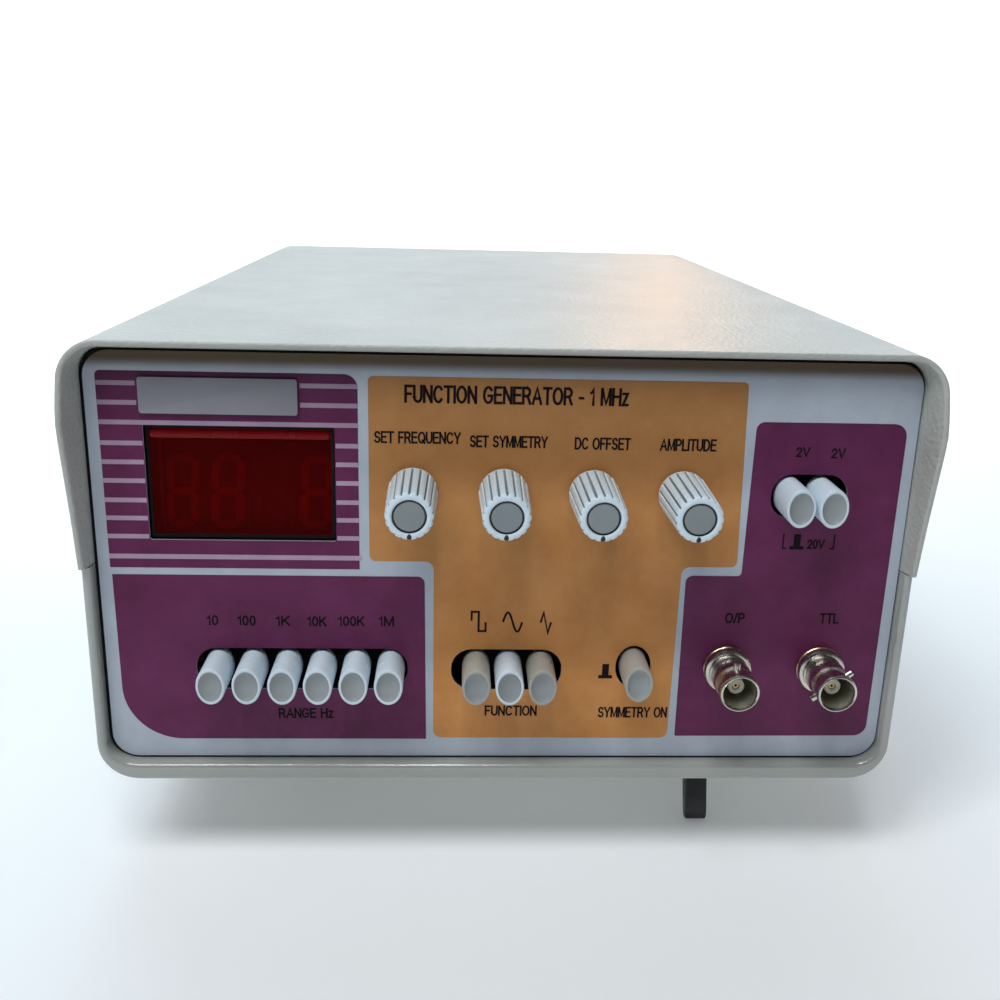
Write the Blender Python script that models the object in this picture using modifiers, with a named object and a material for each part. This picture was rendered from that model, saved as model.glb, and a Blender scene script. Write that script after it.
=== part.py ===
"""Bench function generator: a two-shell plastic case with a printed front panel, piano-key
range and waveform switches, four fluted knobs, a red LED readout and two BNC outputs.

Units are metres.  Sizes are written in millimetres in the case frame and scaled by MM:
+X is to the right, +Y runs back into the case, +Z is up, y = 0 is the face of the printed
film and z = 0 is the bottom line of its graphics.  The whole case hangs on one tilted empty,
because it stands on its right front leg, which is flipped down, and on its rear feet.
"""

import math

import bmesh
import bpy
from mathutils import Matrix, Vector

MM = 0.001

# Case
HALF_WIDTH = 101.0
TOP_Z = 102.2
BOTTOM_Z = -10.3
SPLIT_Z = 47.2
WALL = 2.3
TOP_CORNER = 8.0
BOTTOM_CORNER = 10.0
BACK_Y = 274.0
VISOR = [(-5.0, TOP_Z), (-8.4, 93.0), (-10.4, 84.0), (-4.8, SPLIT_Z + 0.15)]
LOWER_LIP = -3.2
RIM_DEPTH = 7.0
RIM_Z = -5.9

# Panels
PANEL_HALF = 98.1
PANEL_TOP = 99.5
PANEL_BOTTOM = -5.5
PANEL_CORNER = 6.5
FILM = 0.4
GAP = 0.3
PANEL = 2.0
REAR_FACE = 268.0

# Controls on the front
RANGE_X = [-70.4 + 8.53 * i for i in range(6)]
WAVE_X = [-6.4 + 8.12 * i for i in range(3)]
SYMMETRY_X = 33.4
ATTEN_X = [68.8, 76.6]
ROW_Z = 19.4
SYMMETRY_Z = 20.4
ATTEN_Z = 66.2
RANGE_SLOT = (-75.8, -23.5)
WAVE_SLOT = (-12.6, 15.2)
ATTEN_SLOT = (64.3, 83.0)
SLOT_TALL = 5.6
BUTTON_HALF_WIDTH = 3.5
BUTTON_HALF_HEIGHT = 4.8
BUTTON_OUT = 9.6
BUTTON_TRAVEL = 4.0
BUTTON_TAIL = 2.4
STEM_R = 1.4
STEM_END = 20.0
KNOB_X = [-22.3 + 21.6 * i for i in range(4)]
KNOB_Z = 66.6
SYMMETRY_HOLE = (4.5, 5.8)
KNOB_OUT = 19.5
KNOB_BASE_R = 6.1
KNOB_FACE_R = 5.3
KNOB_RIBS = 18
CAP_R = 3.55
SHAFT_R = 3.0
BUSHING_R = 3.9
BNC_X = [57.1, 81.0]
BNC_Z = 20.6
BNC_R = 4.85
BNC_BORE_R = 4.05
BNC_OUT = 14.2
BNC_FLANGE_R = 5.9

# Display
WINDOW = (-85.0, -40.7, 53.4, 81.7)
BEZEL = 2.4
RECESS = (-84.9, -40.9, 51.2, 81.6)
DIGIT_BLOCKS_X = [(-82.6, -62.4), (-62.1, -41.9)]
DIGIT_Z = (51.6, 76.6)
PLATE = (-85.4, -49.0, 84.6, 93.2)

# Legs and feet
TILT = 4.377
LEG_X = 56.8
LEG_WIDTH = 6.0
LEG_PIVOT = (22.0, -13.6)
LEG_TIP = (15.0, -34.8)
LEG_FOLD = 104.0
FOOT_Y = 250.0
FOOT_X = 80.0
FOOT_R = 7.5
FOOT_HEIGHT = 6.0

# Rear fittings
INLET = (62.0, 26.0)
SWITCH = (24.0, 26.0)
FUSE = (-4.0, 26.0)


def clear_scene():
    for old in list(bpy.data.objects):
        bpy.data.objects.remove(old, do_unlink=True)


clear_scene()
SCENE = bpy.context.scene
SCENE.unit_settings.system = "METRIC"
PARTS = bpy.data.collections.new("function_generator")
CUTTERS = bpy.data.collections.new("cutters")
SCENE.collection.children.link(PARTS)
SCENE.collection.children.link(CUTTERS)


def material(name, colour, roughness, metallic=0.0):
    made = bpy.data.materials.new(name)
    made.use_nodes = True
    shader = made.node_tree.nodes["Principled BSDF"]
    shader.inputs["Base Color"].default_value = (*colour, 1.0)
    shader.inputs["Roughness"].default_value = roughness
    shader.inputs["Metallic"].default_value = metallic
    return made


CASE = material("case_plastic", (0.62, 0.60, 0.52), 0.45)
FILM_PRINT = material("printed_film", (0.75, 0.74, 0.80), 0.4)
ALUMINIUM = material("panel_aluminium", (0.75, 0.75, 0.77), 0.35, 1.0)
RED_FILTER = material("red_filter", (0.25, 0.01, 0.01), 0.1)
BLACK = material("black_plastic", (0.02, 0.02, 0.02), 0.4)
BUTTON_GREY = material("button_plastic", (0.66, 0.66, 0.67), 0.35)
KNOB_GREY = material("knob_plastic", (0.74, 0.74, 0.74), 0.35)
CAP_GREY = material("cap_plastic", (0.50, 0.50, 0.52), 0.4)
STEEL = material("steel", (0.62, 0.62, 0.64), 0.3, 1.0)
NICKEL = material("nickel", (0.66, 0.62, 0.56), 0.25, 1.0)
INSULATOR = material("insulator", (0.85, 0.80, 0.68), 0.5)
BOARD = material("board_green", (0.05, 0.20, 0.08), 0.5)
COPPER = material("winding_tape", (0.72, 0.55, 0.12), 0.5)
RUBBER = material("foot_rubber", (0.03, 0.03, 0.03), 0.8)
PLATE_METAL = material("label_plate", (0.60, 0.58, 0.60), 0.35, 0.6)
DIGIT_GREY = material("digit_block", (0.10, 0.02, 0.02), 0.4)

ROOT = bpy.data.objects.new("function_generator_root", None)
PARTS.objects.link(ROOT)


def from_bmesh(name, bm, paint=None, at=(0.0, 0.0, 0.0)):
    """An object in case millimetres; without a paint it is a cutter."""
    bmesh.ops.recalc_face_normals(bm, faces=bm.faces)
    bmesh.ops.scale(bm, vec=(MM, MM, MM), verts=bm.verts)
    mesh = bpy.data.meshes.new(name)
    bm.to_mesh(mesh)
    bm.free()
    made = bpy.data.objects.new(name, mesh)
    made.location = Vector(at) * MM
    made.parent = ROOT
    if paint is None:
        CUTTERS.objects.link(made)
        made.hide_render = True
        made.display_type = "WIRE"
    else:
        PARTS.objects.link(made)
        mesh.materials.append(paint)
    return made


def block(name, low, high, paint=None, bevel=0.0, at=(0.0, 0.0, 0.0)):
    """A box between two corners, given relative to its origin."""
    low = Vector(low)
    high = Vector(high)
    bm = bmesh.new()
    size = high - low
    shape = Matrix.Translation((low + high) / 2) @ Matrix.Diagonal((*size, 1.0))
    bmesh.ops.create_cube(bm, size=1.0, matrix=shape)
    made = from_bmesh(name, bm, paint, at)
    if bevel:
        edge = made.modifiers.new("edge", "BEVEL")
        edge.width = bevel * MM
        edge.segments = 2
        edge.use_clamp_overlap = True
    return made


def prism(name, outline, axis, low, high, paint=None, at=(0.0, 0.0, 0.0)):
    """A flat outline pushed along X (given in y, z) or along Y (given in x, z)."""
    flat = bpy.data.curves.new(name, "CURVE")
    flat.dimensions = "2D"
    flat.fill_mode = "BOTH"
    flat.extrude = (high - low) / 2
    line = flat.splines.new("POLY")
    line.points.add(len(outline) - 1)
    for point, (a, b) in zip(line.points, outline):
        point.co = (a, b, 0.0, 1.0)
    line.use_cyclic_u = True
    guide = bpy.data.objects.new(name, flat)
    SCENE.collection.objects.link(guide)
    graph = bpy.context.evaluated_depsgraph_get()
    mesh = bpy.data.meshes.new_from_object(guide.evaluated_get(graph))
    bpy.data.objects.remove(guide)
    bpy.data.curves.remove(flat)
    bm = bmesh.new()
    bm.from_mesh(mesh)
    bpy.data.meshes.remove(mesh)
    bmesh.ops.remove_doubles(bm, verts=bm.verts, dist=0.001)
    bmesh.ops.dissolve_limit(bm, angle_limit=0.001, verts=bm.verts, edges=bm.edges)
    middle = (high + low) / 2
    if axis == "X":
        stand = Matrix(((0, 0, 1, middle), (1, 0, 0, 0), (0, 1, 0, 0), (0, 0, 0, 1)))
    else:
        stand = Matrix(((1, 0, 0, 0), (0, 0, -1, middle), (0, 1, 0, 0), (0, 0, 0, 1)))
    bmesh.ops.transform(bm, matrix=stand, verts=bm.verts)
    return from_bmesh(name, bm, paint, at)


def lathe(name, profile, paint=None, at=(0.0, 0.0, 0.0), steps=24, forward=True):
    """A turned piece.  The profile is (radius, distance along the axis) from its outer end
    to its inner one; forward turns the axis from +Z to the front, -Y."""
    mesh = bpy.data.meshes.new(name)
    bm = bmesh.new()
    ring = [bm.verts.new((r * MM, 0.0, h * MM)) for r, h in profile]
    for first, second in zip(ring, ring[1:]):
        bm.edges.new((first, second))
    bm.to_mesh(mesh)
    bm.free()
    made = bpy.data.objects.new(name, mesh)
    made.location = Vector(at) * MM
    made.parent = ROOT
    if forward:
        made.rotation_euler = (math.radians(90.0), 0.0, 0.0)
    turn = made.modifiers.new("turn", "SCREW")
    turn.steps = steps
    turn.render_steps = steps
    turn.use_merge_vertices = True
    turn.merge_threshold = 0.00001
    turn.use_smooth_shade = True
    if paint is None:
        CUTTERS.objects.link(made)
        made.hide_render = True
        made.display_type = "WIRE"
    else:
        PARTS.objects.link(made)
        mesh.materials.append(paint)
    return made


def cut(target, *cutters, operation="DIFFERENCE"):
    for cutter in cutters:
        step = target.modifiers.new("cut_" + cutter.name, "BOOLEAN")
        step.operation = operation
        step.solver = "EXACT"
        step.object = cutter


def arc(cx, cz, radius, start, end, steps):
    """Points of an arc, angles in degrees."""
    turns = [math.radians(start + (end - start) * i / steps) for i in range(steps + 1)]
    return [(cx + radius * math.cos(t), cz + radius * math.sin(t)) for t in turns]


def rounded(x0, x1, z0, z1, low_radius, high_radius, steps=5):
    """A rectangle with rounded corners, the lower two by one radius, the upper by another."""
    points = arc(x1 - low_radius, z0 + low_radius, low_radius, -90, 0, steps)
    points += arc(x1 - high_radius, z1 - high_radius, high_radius, 0, 90, steps)
    points += arc(x0 + high_radius, z1 - high_radius, high_radius, 90, 180, steps)
    points += arc(x0 + low_radius, z0 + low_radius, low_radius, 180, 270, steps)
    return points


def round_hole(name, x, z, radius, y0, y1, steps=24):
    return prism(name, arc(x, z, radius, 0, 360 - 360 / steps, steps - 1), "Y", y0, y1)


def rear_of(y):
    """The rear of the case mirrors the front about the middle of its length."""
    return BACK_Y - 5.0 - y


# ---------------------------------------------------------------- case shells

def make_case():
    front = VISOR
    back = [(rear_of(y), z) for y, z in reversed(VISOR)]
    top = prism("top_cover", front + back, "X", -120, 120, CASE)
    body = rounded(-HALF_WIDTH, HALF_WIDTH, -60, TOP_Z, 1.0, TOP_CORNER)
    cut(top, prism("cut_top_outline", body, "Y", -40, 320), operation="INTERSECT")
    inner = HALF_WIDTH - WALL
    room = rounded(-inner, inner, -60, TOP_Z - WALL, 1.0, TOP_CORNER - WALL)
    cut(top, prism("cut_top_room", room, "Y", -50, 330))
    for side, x in (("left", -inner), ("right", inner)):
        into = -1 if x > 0 else 1
        near, far = sorted((x - into * 0.6, x + into * 1.5))
        for place, y0, y1 in (("front", 3.2, 6.2), ("rear", rear_of(6.2), rear_of(3.2))):
            rib = block(f"rib_{place}_{side}", (near, y0, 55), (far, y1, 92))
            cut(top, rib, operation="UNION")

    lower = [(LOWER_LIP, SPLIT_Z - 0.15), (LOWER_LIP, BOTTOM_Z)]
    lower += [(rear_of(LOWER_LIP), BOTTOM_Z), (rear_of(LOWER_LIP), SPLIT_Z - 0.15)]
    bottom = prism("bottom_cover", lower, "X", -120, 120, CASE)
    body = rounded(-HALF_WIDTH, HALF_WIDTH, BOTTOM_Z, 160, BOTTOM_CORNER, 1.0)
    cut(bottom, prism("cut_bottom_outline", body, "Y", -40, 320), operation="INTERSECT")
    low = BOTTOM_CORNER - WALL
    room = rounded(-inner, inner, BOTTOM_Z + WALL, 160, low, 1.0)
    cut(bottom, prism("cut_bottom_room", room, "Y", RIM_DEPTH, rear_of(RIM_DEPTH)))
    mouth = rounded(-inner, inner, RIM_Z, 160, low, 1.0)
    cut(bottom, prism("cut_front_mouth", mouth, "Y", -20, RIM_DEPTH + 1))
    cut(bottom, prism("cut_rear_mouth", mouth, "Y", rear_of(RIM_DEPTH + 1), 300))
    for i in range(7):
        x = -36 + 12 * i
        slot = block(f"cut_vent_{i}", (x - 1.6, 150, -20), (x + 1.6, 190, 0))
        cut(bottom, slot)
    y, z = LEG_PIVOT
    for side, x in (("left", -LEG_X), ("right", LEG_X)):
        for face in (-1, 1):
            inside = x + face * (LEG_WIDTH / 2 + 0.5)
            outside = x + face * (LEG_WIDTH / 2 + 3.2)
            low_x, high_x = sorted((inside, outside))
            name = f"lug_{side}_{'in' if face * x < 0 else 'out'}"
            outline = [(y - 5, BOTTOM_Z + 1), (y - 4, z - 2), (y - 2, z - 3.2)]
            outline += [(y + 2, z - 3.2), (y + 4, z - 2), (y + 5, BOTTOM_Z + 1)]
            cut(bottom, prism(name, outline, "X", low_x, high_x), operation="UNION")
        bore = lathe(f"cut_pin_{side}", [(0, 12), (1.7, 12), (1.7, -12), (0, -12)],
                     at=(x, y, z), steps=16, forward=False)
        bore.rotation_euler = (0.0, math.radians(90.0), 0.0)
        cut(bottom, bore)
    for side, x in (("left", -FOOT_X), ("right", FOOT_X)):
        hole = lathe(f"cut_foot_{side}", [(0, 5), (2.2, 5), (2.2, -5), (0, -5)],
                     at=(x, FOOT_Y, BOTTOM_Z + 1), steps=16, forward=False)
        cut(bottom, hole)


def make_legs():
    y, z = LEG_PIVOT
    dy = LEG_TIP[0] - y
    dz = LEG_TIP[1] - z
    length = math.hypot(dy, dz)
    along = Vector((dy / length, dz / length))
    side = Vector((-along.y, along.x))
    stations = [(-2.6, 1.6), (-1.2, 2.7), (2.5, 2.9), (length - 5, 2.2), (length - 1.2, 1.9)]
    right = [along * s + side * w for s, w in stations]
    left = [along * s - side * w for s, w in reversed(stations)]
    tip = [along * (length - 0.1) + side * 0.9, along * (length - 0.1) - side * 0.9]
    outline = [(p.x, p.y) for p in right + tip + left]
    half = LEG_WIDTH / 2
    for name, x, fold in (("tilt_leg_left", -LEG_X, LEG_FOLD), ("tilt_leg_right", LEG_X, 0.0)):
        leg = prism(name, outline, "X", -half, half, BLACK, at=(x, y, z))
        leg.rotation_euler = (math.radians(fold), 0.0, 0.0)
        pin = lathe(name + "_pin", [(0, 5.6), (1.3, 5.6), (1.3, -5.6), (0, -5.6)],
                    at=(x, y, z), steps=16, forward=False)
        pin.rotation_euler = (0.0, math.radians(90.0), 0.0)
        cut(leg, pin, operation="UNION")
    for name, x in (("rear_foot_left", -FOOT_X), ("rear_foot_right", FOOT_X)):
        top = BOTTOM_Z - GAP
        low = -FOOT_HEIGHT
        profile = [(0, 3.6), (1.8, 3.6), (1.8, 0), (FOOT_R, 0), (FOOT_R - 0.6, low + 1.0),
                   (FOOT_R - 1.4, low), (0, low)]
        lathe(name, profile, RUBBER, at=(x, FOOT_Y, top), forward=False)


# ---------------------------------------------------------------- panels and display

def panel_holes(prefix, y0, y1, slack):
    """Cutters for every opening in the film and the panel behind it."""
    made = []
    tall = SLOT_TALL + slack
    for name, ends, z in (("range", RANGE_SLOT, ROW_Z), ("wave", WAVE_SLOT, ROW_Z),
                          ("atten", ATTEN_SLOT, ATTEN_Z)):
        shape = rounded(ends[0] - slack, ends[1] + slack, z - tall, z + tall,
                        tall - 0.6, tall - 0.6)
        made.append(prism(f"{prefix}_{name}", shape, "Y", y0, y1))
    wide, high = SYMMETRY_HOLE
    oval = [(SYMMETRY_X + (wide + slack) * a, SYMMETRY_Z + (high + slack) * b)
            for a, b in arc(0.0, 0.0, 1.0, 0, 345, 23)]
    made.append(prism(f"{prefix}_symmetry", oval, "Y", y0, y1))
    for i, x in enumerate(KNOB_X):
        made.append(round_hole(f"{prefix}_pot_{i}", x, KNOB_Z, BUSHING_R + 0.4, y0, y1, 20))
    for i, x in enumerate(BNC_X):
        made.append(round_hole(f"{prefix}_bnc_{i}", x, BNC_Z, BNC_R + 0.4, y0, y1, 20))
    x0, x1, z0, z1 = WINDOW
    window = rounded(x0 - slack, x1 + slack, z0 - slack, z1 + slack, 0.6, 0.6, 2)
    made.append(prism(f"{prefix}_window", window, "Y", y0, y1))
    return made


def make_front():
    outline = rounded(-PANEL_HALF, PANEL_HALF, PANEL_BOTTOM, PANEL_TOP, PANEL_CORNER, PANEL_CORNER)
    film = prism("front_film", outline, "Y", 0.0, FILM, FILM_PRINT)
    cut(film, *panel_holes("film", -3, 1.5, 0.0))
    start = FILM + GAP
    plate = prism("front_panel", outline, "Y", start, start + PANEL, ALUMINIUM)
    cut(plate, *panel_holes("panel", -3, 6, 0.3))
    x0, x1, z0, z1 = PLATE
    prism("label_plate", rounded(x0, x1, z0, z1, 0.8, 0.8, 2), "Y", -0.75, -0.25, PLATE_METAL)

    x0, x1, z0, z1 = RECESS
    frame = block("display_bezel", (x0 - BEZEL, start + PANEL + GAP, z0 - BEZEL),
                  (x1 + BEZEL, 9.0, z1 + BEZEL), BLACK, 0.4)
    cut(frame, block("cut_bezel", (x0, -1, z0), (x1, 12, z1)))
    block("display_window", (x0 + 0.3, 3.4, z0 + 0.3), (x1 - 0.3, 4.9, z1 - 0.3), RED_FILTER)
    for i, (a, b) in enumerate(DIGIT_BLOCKS_X, 1):
        block(f"digit_pair_{i}", (a, 5.5, DIGIT_Z[0]), (b, 11.5, DIGIT_Z[1]), DIGIT_GREY, 0.3)
    block("display_board", (x0 - 2, 11.9, z0 - 6), (x1 + 4, 13.5, z1 + 6), BOARD)


# ---------------------------------------------------------------- controls

def switch_bank(name, xs, z):
    """A stamped frame that the button stems slide in: a front web and a long bottom tray."""
    x0 = xs[0] - 5.5
    x1 = xs[-1] + 5.5
    web = block(name, (x0, 7.6, z - 7.0), (x1, 9.0, z + 5.5), STEEL)
    tray = block(f"tray_{name}", (x0, 7.6, z - 7.0), (x1, 40.0, z - 5.6))
    cut(web, tray, operation="UNION")
    back = block(f"back_{name}", (x0, 38.4, z - 7.0), (x1, 40.0, z + 5.5))
    cut(web, back, operation="UNION")
    for i, x in enumerate(xs):
        cut(web, round_hole(f"cut_{name}_{i}", x, z, STEM_R + 0.5, 5, 12, 12))


def button(name, x, z, out=BUTTON_OUT):
    """An oval push button with a dished face on a round stem; its origin is on its axis."""
    r = BUTTON_HALF_WIDTH
    dish = [(0, out - 1.1), (1.5, out - 0.9), (r - 0.75, out - 0.05), (r - 0.4, out)]
    side = [(r, out - 0.5), (r, -BUTTON_TAIL), (0, -BUTTON_TAIL)]
    cap = lathe(name, dish + side, BUTTON_GREY, at=(x, 0.0, z), steps=20)
    cap.scale.y = BUTTON_HALF_HEIGHT / BUTTON_HALF_WIDTH
    rod = [(0, 2.0), (STEM_R, 2.0), (STEM_R, -STEM_END), (0, -STEM_END)]
    stem = lathe(name + "_stem", rod, at=(x, 0.0, z), steps=12)
    cut(cap, stem, operation="UNION")


def make_buttons():
    labels = ("10", "100", "1k", "10k", "100k", "1m")
    for label, x in zip(labels, RANGE_X):
        button(f"range_button_{label}", x, ROW_Z)
    for label, x in zip(("square", "sine", "triangle"), WAVE_X):
        button(f"wave_button_{label}", x, ROW_Z)
    for label, x in zip(("a", "b"), ATTEN_X):
        button(f"attenuator_button_{label}", x, ATTEN_Z)
    button("symmetry_button", SYMMETRY_X, SYMMETRY_Z)
    switch_bank("range_switch_bank", RANGE_X, ROW_Z)
    switch_bank("wave_switch_bank", WAVE_X, ROW_Z)
    switch_bank("attenuator_switch_bank", ATTEN_X, ATTEN_Z)
    switch_bank("symmetry_switch", [SYMMETRY_X], SYMMETRY_Z)


def knob(name, x):
    """A fluted knob on its shaft: the ribs are a gear-shaped outline, tapered to the face."""
    bm = bmesh.new()
    per_rib = 4
    count = KNOB_RIBS * per_rib
    depth = (0.0, 0.0, 0.55, 0.55)
    rows = []
    for radius, out in ((KNOB_BASE_R, 0.8), (KNOB_FACE_R, KNOB_OUT - 0.8)):
        row = []
        for i in range(count):
            turn = 2 * math.pi * i / count
            r = radius - depth[i % per_rib]
            row.append(bm.verts.new((r * math.cos(turn), r * math.sin(turn), out)))
        rows.append(row)
    for i in range(count):
        j = (i + 1) % count
        bm.faces.new((rows[0][i], rows[0][j], rows[1][j], rows[1][i]))
    bm.faces.new(rows[1])
    bm.faces.new(list(reversed(rows[0])))
    made = from_bmesh(name, bm, KNOB_GREY, (x, 0.0, KNOB_Z))
    made.rotation_euler = (math.radians(90.0), 0.0, 0.0)
    rim = [(0, KNOB_OUT), (KNOB_FACE_R - 0.9, KNOB_OUT), (KNOB_FACE_R - 0.7, KNOB_OUT - 0.8),
           (KNOB_FACE_R - 0.7, KNOB_OUT - 2.0), (0, KNOB_OUT - 2.0)]
    ring = lathe(name + "_ring", rim, at=(x, 0.0, KNOB_Z))
    cut(made, ring, operation="UNION")
    seat = [(0, KNOB_OUT + 1), (CAP_R + 0.3, KNOB_OUT + 1), (CAP_R + 0.3, KNOB_OUT - 1.5),
            (0, KNOB_OUT - 1.5)]
    cut(made, lathe(name + "_seat", seat, at=(x, 0.0, KNOB_Z)))
    bore = [(0, KNOB_OUT - 4.0), (SHAFT_R + 0.3, KNOB_OUT - 4.0), (SHAFT_R + 0.3, 6.0),
            (4.6, 6.0), (4.6, -1.0), (0, -1.0)]
    cut(made, lathe(name + "_bore", bore, at=(x, 0.0, KNOB_Z), steps=20))
    disc = [(0, KNOB_OUT - 0.5), (CAP_R - 0.4, KNOB_OUT - 0.3), (CAP_R, KNOB_OUT - 0.55),
            (CAP_R, KNOB_OUT - 1.2), (0, KNOB_OUT - 1.2)]
    lathe(name + "_cap", disc, CAP_GREY, at=(x, 0.0, KNOB_Z))
    shaft = [(0, KNOB_OUT - 4.3), (SHAFT_R, KNOB_OUT - 4.3), (SHAFT_R, -4.2), (0, -4.2)]
    lathe(name + "_shaft", shaft, STEEL, at=(x, 0.0, KNOB_Z), steps=20)
    body = [(SHAFT_R + 0.3, 5.0), (BUSHING_R, 5.0), (BUSHING_R, -3.1), (8.2, -3.1),
            (8.2, -12.0), (0, -12.0), (0, -4.5), (SHAFT_R + 0.3, -4.5), (SHAFT_R + 0.3, 5.0)]
    lathe(name.replace("knob", "potentiometer"), body, STEEL, at=(x, 0.0, KNOB_Z), steps=20)


def make_knobs():
    for label, x in zip(("frequency", "symmetry", "offset", "amplitude"), KNOB_X):
        knob("knob_" + label, x)


def make_outputs():
    for label, x in zip(("output", "ttl"), BNC_X):
        name = f"bnc_{label}"
        r = BNC_R
        profile = [(BNC_BORE_R, BNC_OUT), (r - 0.15, BNC_OUT), (r, BNC_OUT - 0.5),
                   (r, BNC_OUT - 2.0), (r - 0.5, BNC_OUT - 2.3), (r - 0.5, 6.0), (r, 5.6),
                   (r, 3.2), (BNC_FLANGE_R - 0.3, 3.2), (BNC_FLANGE_R, 2.8),
                   (BNC_FLANGE_R, 0.3), (r, 0.3), (r, -11.0), (BNC_BORE_R - 1.6, -11.0),
                   (BNC_BORE_R - 1.6, 3.0), (BNC_BORE_R, 3.0), (BNC_BORE_R, BNC_OUT)]
        body = lathe(name + "_body", profile, NICKEL, at=(x, 0.0, BNC_Z), steps=28)
        lugs = lathe(name + "_lugs", [(0, 6.1), (0.95, 6.1), (0.95, -6.1), (0, -6.1)],
                     at=(x, -(BNC_OUT - 4.6), BNC_Z), steps=12, forward=False)
        if label == "ttl":
            lugs.rotation_euler = (0.0, math.radians(52.0), 0.0)
        cut(body, lugs, operation="UNION")
        clear = lathe(name + "_clear", [(0, 17), (BNC_BORE_R, 17), (BNC_BORE_R, 3.0), (0, 3.0)],
                      at=(x, 0.0, BNC_Z), steps=28)
        cut(body, clear)
        core = [(0.9, 10.3), (2.0, 10.3), (2.0, 3.4), (BNC_BORE_R - 0.3, 3.4),
                (BNC_BORE_R - 0.3, 3.3), (2.1, 3.3), (2.1, -9.5), (0, -9.5), (0, 4.0),
                (0.9, 4.0), (0.9, 10.3)]
        lathe(name + "_insulator", core, INSULATOR, at=(x, 0.0, BNC_Z), steps=20)


# ---------------------------------------------------------------- inside and rear

def make_inside():
    block("main_board", (-90, 46, -4.2), (90, 232, -2.6), BOARD)
    block("transformer_core", (28, 170, -2.2), (84, 222, 42), STEEL, 0.6)
    wound = block("transformer_winding", (33, 159, 4), (79, 233, 38), COPPER, 1.5)
    cut(wound, block("cut_winding", (27.6, 169.6, -3), (84.4, 222.4, 42.4)))
    limbs = block("winding_core", (40, 165, 10), (72, 225, 32))
    cut(wound, limbs, operation="UNION")
    cut(bpy.data.objects["transformer_core"],
        block("cut_core", (39.6, 160, 9.6), (72.4, 230, 32.4)))


def make_rear():
    outline = rounded(-PANEL_HALF, PANEL_HALF, PANEL_BOTTOM, PANEL_TOP, PANEL_CORNER, PANEL_CORNER)
    face = REAR_FACE
    rear = prism("rear_panel", outline, "Y", face - PANEL, face, ALUMINIUM)
    x, z = INLET
    cut(rear, block("cut_rear_inlet", (x - 14.2, face - 5, z - 10.7), (x + 14.2, face + 5, z + 10.7)))
    inlet = block("mains_inlet", (x - 13.8, face - 22, z - 10.3), (x + 13.8, face + 0.4, z + 10.3),
                  BLACK)
    ear = rounded(x - 19.8, x + 19.8, z - 12, z + 12, 3, 3, 3)
    cut(inlet, prism("inlet_ears", ear, "Y", face + 0.3, face + 2.6), operation="UNION")
    pocket = rounded(x - 12, x + 12, z - 8.2, z + 8.2, 1.2, 5.0, 2)
    cut(inlet, prism("inlet_pocket", pocket, "Y", face - 14, face + 6))
    for i, (dx, dz) in enumerate(((-7, 1.5), (0, -2.0), (7, 1.5))):
        pin = block(f"inlet_pin_{i}", (x + dx - 1, face - 18, z + dz - 2),
                    (x + dx + 1, face - 1, z + dz + 2))
        cut(inlet, pin, operation="UNION")

    x, z = SWITCH
    cut(rear, block("cut_rear_switch", (x - 9.7, face - 5, z - 6.6), (x + 9.7, face + 5, z + 6.6)))
    housing = block("power_switch", (x - 9.3, face - 18, z - 6.2), (x + 9.3, face + 0.4, z + 6.2),
                    BLACK)
    rim = rounded(x - 11, x + 11, z - 7.8, z + 7.8, 0.8, 0.8, 2)
    cut(housing, prism("switch_rim", rim, "Y", face + 0.3, face + 2.0), operation="UNION")
    cut(housing, block("cut_switch_room", (x - 8.0, face - 9, z - 5.0), (x + 8.0, face + 6, z + 5.0)))
    shape = [(-7.3, 1.4), (0, -1.0), (7.3, 3.2), (7.3, 1.6), (4.6, -4.6), (-4.6, -4.6), (-7.3, -0.2)]
    bm = bmesh.new()
    low = [bm.verts.new((a, b, -4.6)) for a, b in shape]
    bottom = bm.faces.new(low)
    moved = bmesh.ops.extrude_face_region(bm, geom=[bottom])["geom"]
    verts = [item for item in moved if isinstance(item, bmesh.types.BMVert)]
    bmesh.ops.translate(bm, vec=(0.0, 0.0, 9.2), verts=verts)
    from_bmesh("power_rocker", bm, BLACK, (x, face - 0.2, z))

    x, z = FUSE
    cut(rear, round_hole("cut_rear_fuse", x, z, 6.3, face - 5, face + 5, 20))
    back = face + 0.3
    barrel = [(4.5, 1.8), (7.6, 1.8), (7.9, 1.3), (7.9, 0.0), (5.9, 0.0), (5.9, -26.0),
              (0, -26.0), (0, -24.0), (4.5, -24.0), (4.5, 1.8)]
    holder = lathe("fuse_holder", barrel, BLACK, at=(x, back, z), steps=20)
    holder.rotation_euler = (math.radians(-90.0), 0.0, 0.0)
    grip = [(0, 9.6), (5.8, 9.6), (6.2, 9.2), (6.2, 2.1), (4.2, 2.1), (4.2, -14.0), (0, -14.0)]
    cap = lathe("fuse_cap", grip, BLACK, at=(x, back, z), steps=20)
    cap.rotation_euler = (math.radians(-90.0), 0.0, 0.0)
    slot = block("cut_fuse_slot", (x - 8, back + 8.4, z - 0.8), (x + 8, back + 12, z + 0.8))
    cut(cap, slot)
    for row in range(3):
        for i in range(9):
            vx = -86 + 8 * i
            vent = block(f"cut_rear_vent_{row}_{i}", (vx, face - 5, 58 + 10 * row),
                         (vx + 2.4, face + 5, 65 + 10 * row))
            cut(rear, vent)


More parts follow.
